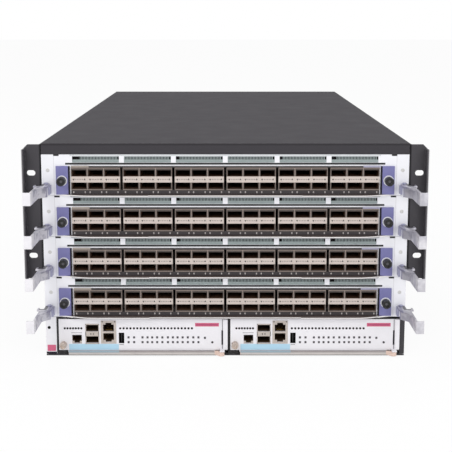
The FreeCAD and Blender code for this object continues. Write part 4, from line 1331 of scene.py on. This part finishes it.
@dataclass
class RearBay(Kit):
    """Fan modules and power supplies."""

    supplies: int = 4
    inlet_at: float = 24.0
    inlet_width: float = 30.0
    inlet_height: float = 23.0
    inlet_depth: float = 14.0
    fan: float = 16.0
    guard_rings: tuple[float, ...] = (5.5, 9.5, 13.5)

    def supply(self) -> None:
        """Inlet with pins, guard rings, a lamp and a latch, copied to every power supply."""
        bench = self.bench
        low, high = place("power_supply_1")
        middle = (low.z + high.z) / 2
        self.origin = (0, place("rear_sleeve")[1].y, middle)
        self.moves = {f"power_supply_{n}": place(f"power_supply_{n}")[0] - low
                      for n in range(1, self.supplies + 1)}
        x, w, h = low.x + self.inlet_at, self.inlet_width / 2 - 0.25, self.inlet_height / 2 - 0.25
        cup = self.block((x - w, 0.2 - self.inlet_depth, -h), (x + w, -0.3, h), 1.6, 3)
        self.keep("inlet", bench.pocket(cup, back, 2.0, (0, -12, 0)), "moulding")
        pins = (self.block((x + dx - 1, -13, dz - 2), (x + dx + 1, -3, dz + 2), 0.5)
                for dx, dz in ((-7, -2.2), (0, 3.4), (7, -2.2)))
        self.keep("inlet_pins", bench.join(pins), "nickel", "nickel")
        x = high.x - self.fan * 1.5
        guard = [self.block((x - w, -2.4, -h), (x + w, -1.6, h), 0.3)
                 for w, h in ((15.4, 0.7), (0.7, 15.4))]
        for radius in self.guard_rings:
            bench.clear()
            bpy.ops.mesh.primitive_torus_add(
                major_radius=radius * MM, minor_radius=0.7 * MM, major_segments=36,
                minor_segments=8, location=[c * MM for c in self.at((x, -1.2, 0))],
                rotation=(math.pi / 2, 0, 0))
            guard.append(bench.settled())
        self.keep("fan_guard", bench.join(guard), "screw", "screw_metal")
        self.keep("fan_hub", self.disc((x, -3.4, 0), 5.6, 2.4, 28, 0.5), "moulding")
        self.keep("lamp", self.disc((low.x + 5, 0, high.z - 5 - middle), 1.4, 0.5, 18, 0.15),
                  "lens", "white_paint")
        latch = self.block((high.x - 4.6, -0.1, -6), (high.x - 1.6, 4, 6), 0.6)
        self.keep("latch", bench.pocket(latch, back, 0.7, (0, -0.6, 0)), "latch")

    def fans(self) -> None:
        """Corner screws of each fan module's guard."""
        bench = self.bench
        low, high = place("fan_grille_left")
        screws = bench.disc((low.x + 3.5, high.y + 0.4, low.z + 3.5), 2.6, 1.6, 20, 0.4)
        bench.pocket(screws, back, 0.9, (0, -0.7, 0))
        bench.row(screws, 2, (high.x - low.x - 7, 0, 0))
        bench.row(screws, 2, (0, 0, high.z - low.z - 7))
        others = bench.copy(screws, place("fan_grille_right")[0] - low)
        for piece, module in ((screws, "fan_module_left"), (others, "fan_module_right")):
            bench.dress(piece, f"{module}_screws", "nickel", module, "screw_metal")

    def build(self) -> None:
        """Adds the rear details and coats the frame's nodes."""
        self.supply()
        self.fans()
        for side in Side:
            for node, coat in (("module", "shelf"), ("rotor", "moulding"), ("grille", "black")):
                self.bench.coat(f"fan_{node}_{side.word}", coat)
        for supply in self.moves:
            self.bench.coat(supply, "shelf")


# ---------------------------------------------------------------- studio


@dataclass
class Studio:
    """Pale floor, soft lamps, white surroundings and the camera."""

    bench: Bench
    eye: Point = (0.9, -1391.2, 412.7)
    down: float = 7.74
    lens: float = 69.34
    shift: float = -0.2
    daylight: float = 0.62
    glow: float = 0.92

    def floor(self) -> None:
        """Floor that shows white to the camera and keeps the object's soft shadow."""
        self.bench.clear()
        bpy.ops.mesh.primitive_plane_add(size=30, location=(0, 0, -0.0004))
        floor = self.bench.settled()
        floor.name = "studio_floor"
        recipe = Recipe("floor paper")
        recipe.set("Base Color", recipe.mix(recipe.noise(60), (0.93, 0.93, 0.93),
                                            (0.97, 0.97, 0.97)))
        recipe.set("Roughness", recipe.noise(40) * 0.1 + 0.75)
        white = recipe.node("Emission", {"Color": (1, 1, 1), "Strength": 1.0})
        seen = Signal(recipe, recipe.node("LightPath").outputs["Is Camera Ray"])
        both = recipe.node("MixShader", {
            0: seen * self.glow, 1: recipe.surface.outputs[0], 2: white.outputs[0]})
        recipe.feed(recipe.output.inputs["Surface"], both.outputs[0])
        floor.data.materials.append(recipe.material)

    def world(self) -> None:
        """Even daylight that shows as white to the camera, in gloss and through glass."""
        world = bpy.data.worlds.new("studio")
        bpy.context.scene.world = world
        world.use_nodes = True
        nodes = Nodes(world.node_tree)
        path = nodes.node("LightPath").outputs
        seen = path["Is Camera Ray"]
        for name in ("Is Glossy Ray", "Is Transmission Ray"):
            seen = nodes.node("Math", {0: seen, 1: path[name]}, operation="MAXIMUM").outputs[0]
        light, white = (nodes.node("Background", {"Color": (1, 1, 1), "Strength": strength})
                        for strength in (self.daylight, 1.0))
        mix = nodes.node("MixShader", {0: seen, 1: light.outputs[0], 2: white.outputs[0]})
        nodes.node("OutputWorld", {"Surface": mix.outputs[0]})

    def lamp(self, name: str, at: Point, aim: Point, size: float, watts: float) -> None:
        """Adds a soft square lamp.

        Args:
            name: name of the lamp.
            at: its place in metres.
            aim: the point it faces, in metres.
            size: length of its side in metres.
            watts: its power.
        """
        self.bench.clear()
        turn = (Vector(aim) - Vector(at)).to_track_quat("-Z", "Y").to_euler()
        bpy.ops.object.light_add(type="AREA", location=at, rotation=turn)
        light = bpy.context.object
        light.name = name
        light.data.shape, light.data.size, light.data.energy = "SQUARE", size, watts

    def camera(self) -> None:
        """Adds the camera."""
        self.bench.clear()
        bpy.ops.object.camera_add(location=[v * MM for v in self.eye],
                                  rotation=(math.radians(90 - self.down), 0, 0))
        camera = bpy.context.object
        camera.name = "studio_camera"
        camera.data.lens, camera.data.sensor_width = self.lens, 36
        camera.data.shift_y = self.shift
        camera.data.clip_start, camera.data.clip_end = 0.05, 100
        bpy.context.scene.camera = camera

    def build(self) -> None:
        """Sets up everything round the object."""
        bpy.context.scene.view_settings.view_transform = "Standard"
        self.floor()
        self.world()
        self.lamp("key", (-1.5, -2.6, 2.2), (0, -0.2, 0.1), 1.8, 34)
        self.lamp("fill", (1.9, -2.4, 1.3), (0, -0.2, 0.1), 1.8, 22)
        self.lamp("top", (0, 0.3, 2.6), (0, 0, 0.1), 2.0, 16)
        self.camera()


def main(frame: dict) -> None:
    """Builds the sub-assemblies in order.
    """
    logging.basicConfig(level=logging.INFO, format="%(message)s")
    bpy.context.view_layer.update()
    bench = Bench(frame)
    for assembly in (PortCard(bench), EjectorLevers(bench), ThumbScrews(bench),
                     ManagementModule(bench), Enclosure(bench), RearBay(bench), Studio(bench)):
        assembly.build()
        log.info("%s done", type(assembly).__name__)
    bench.clear()


if __name__ == "__main__":
    main(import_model())
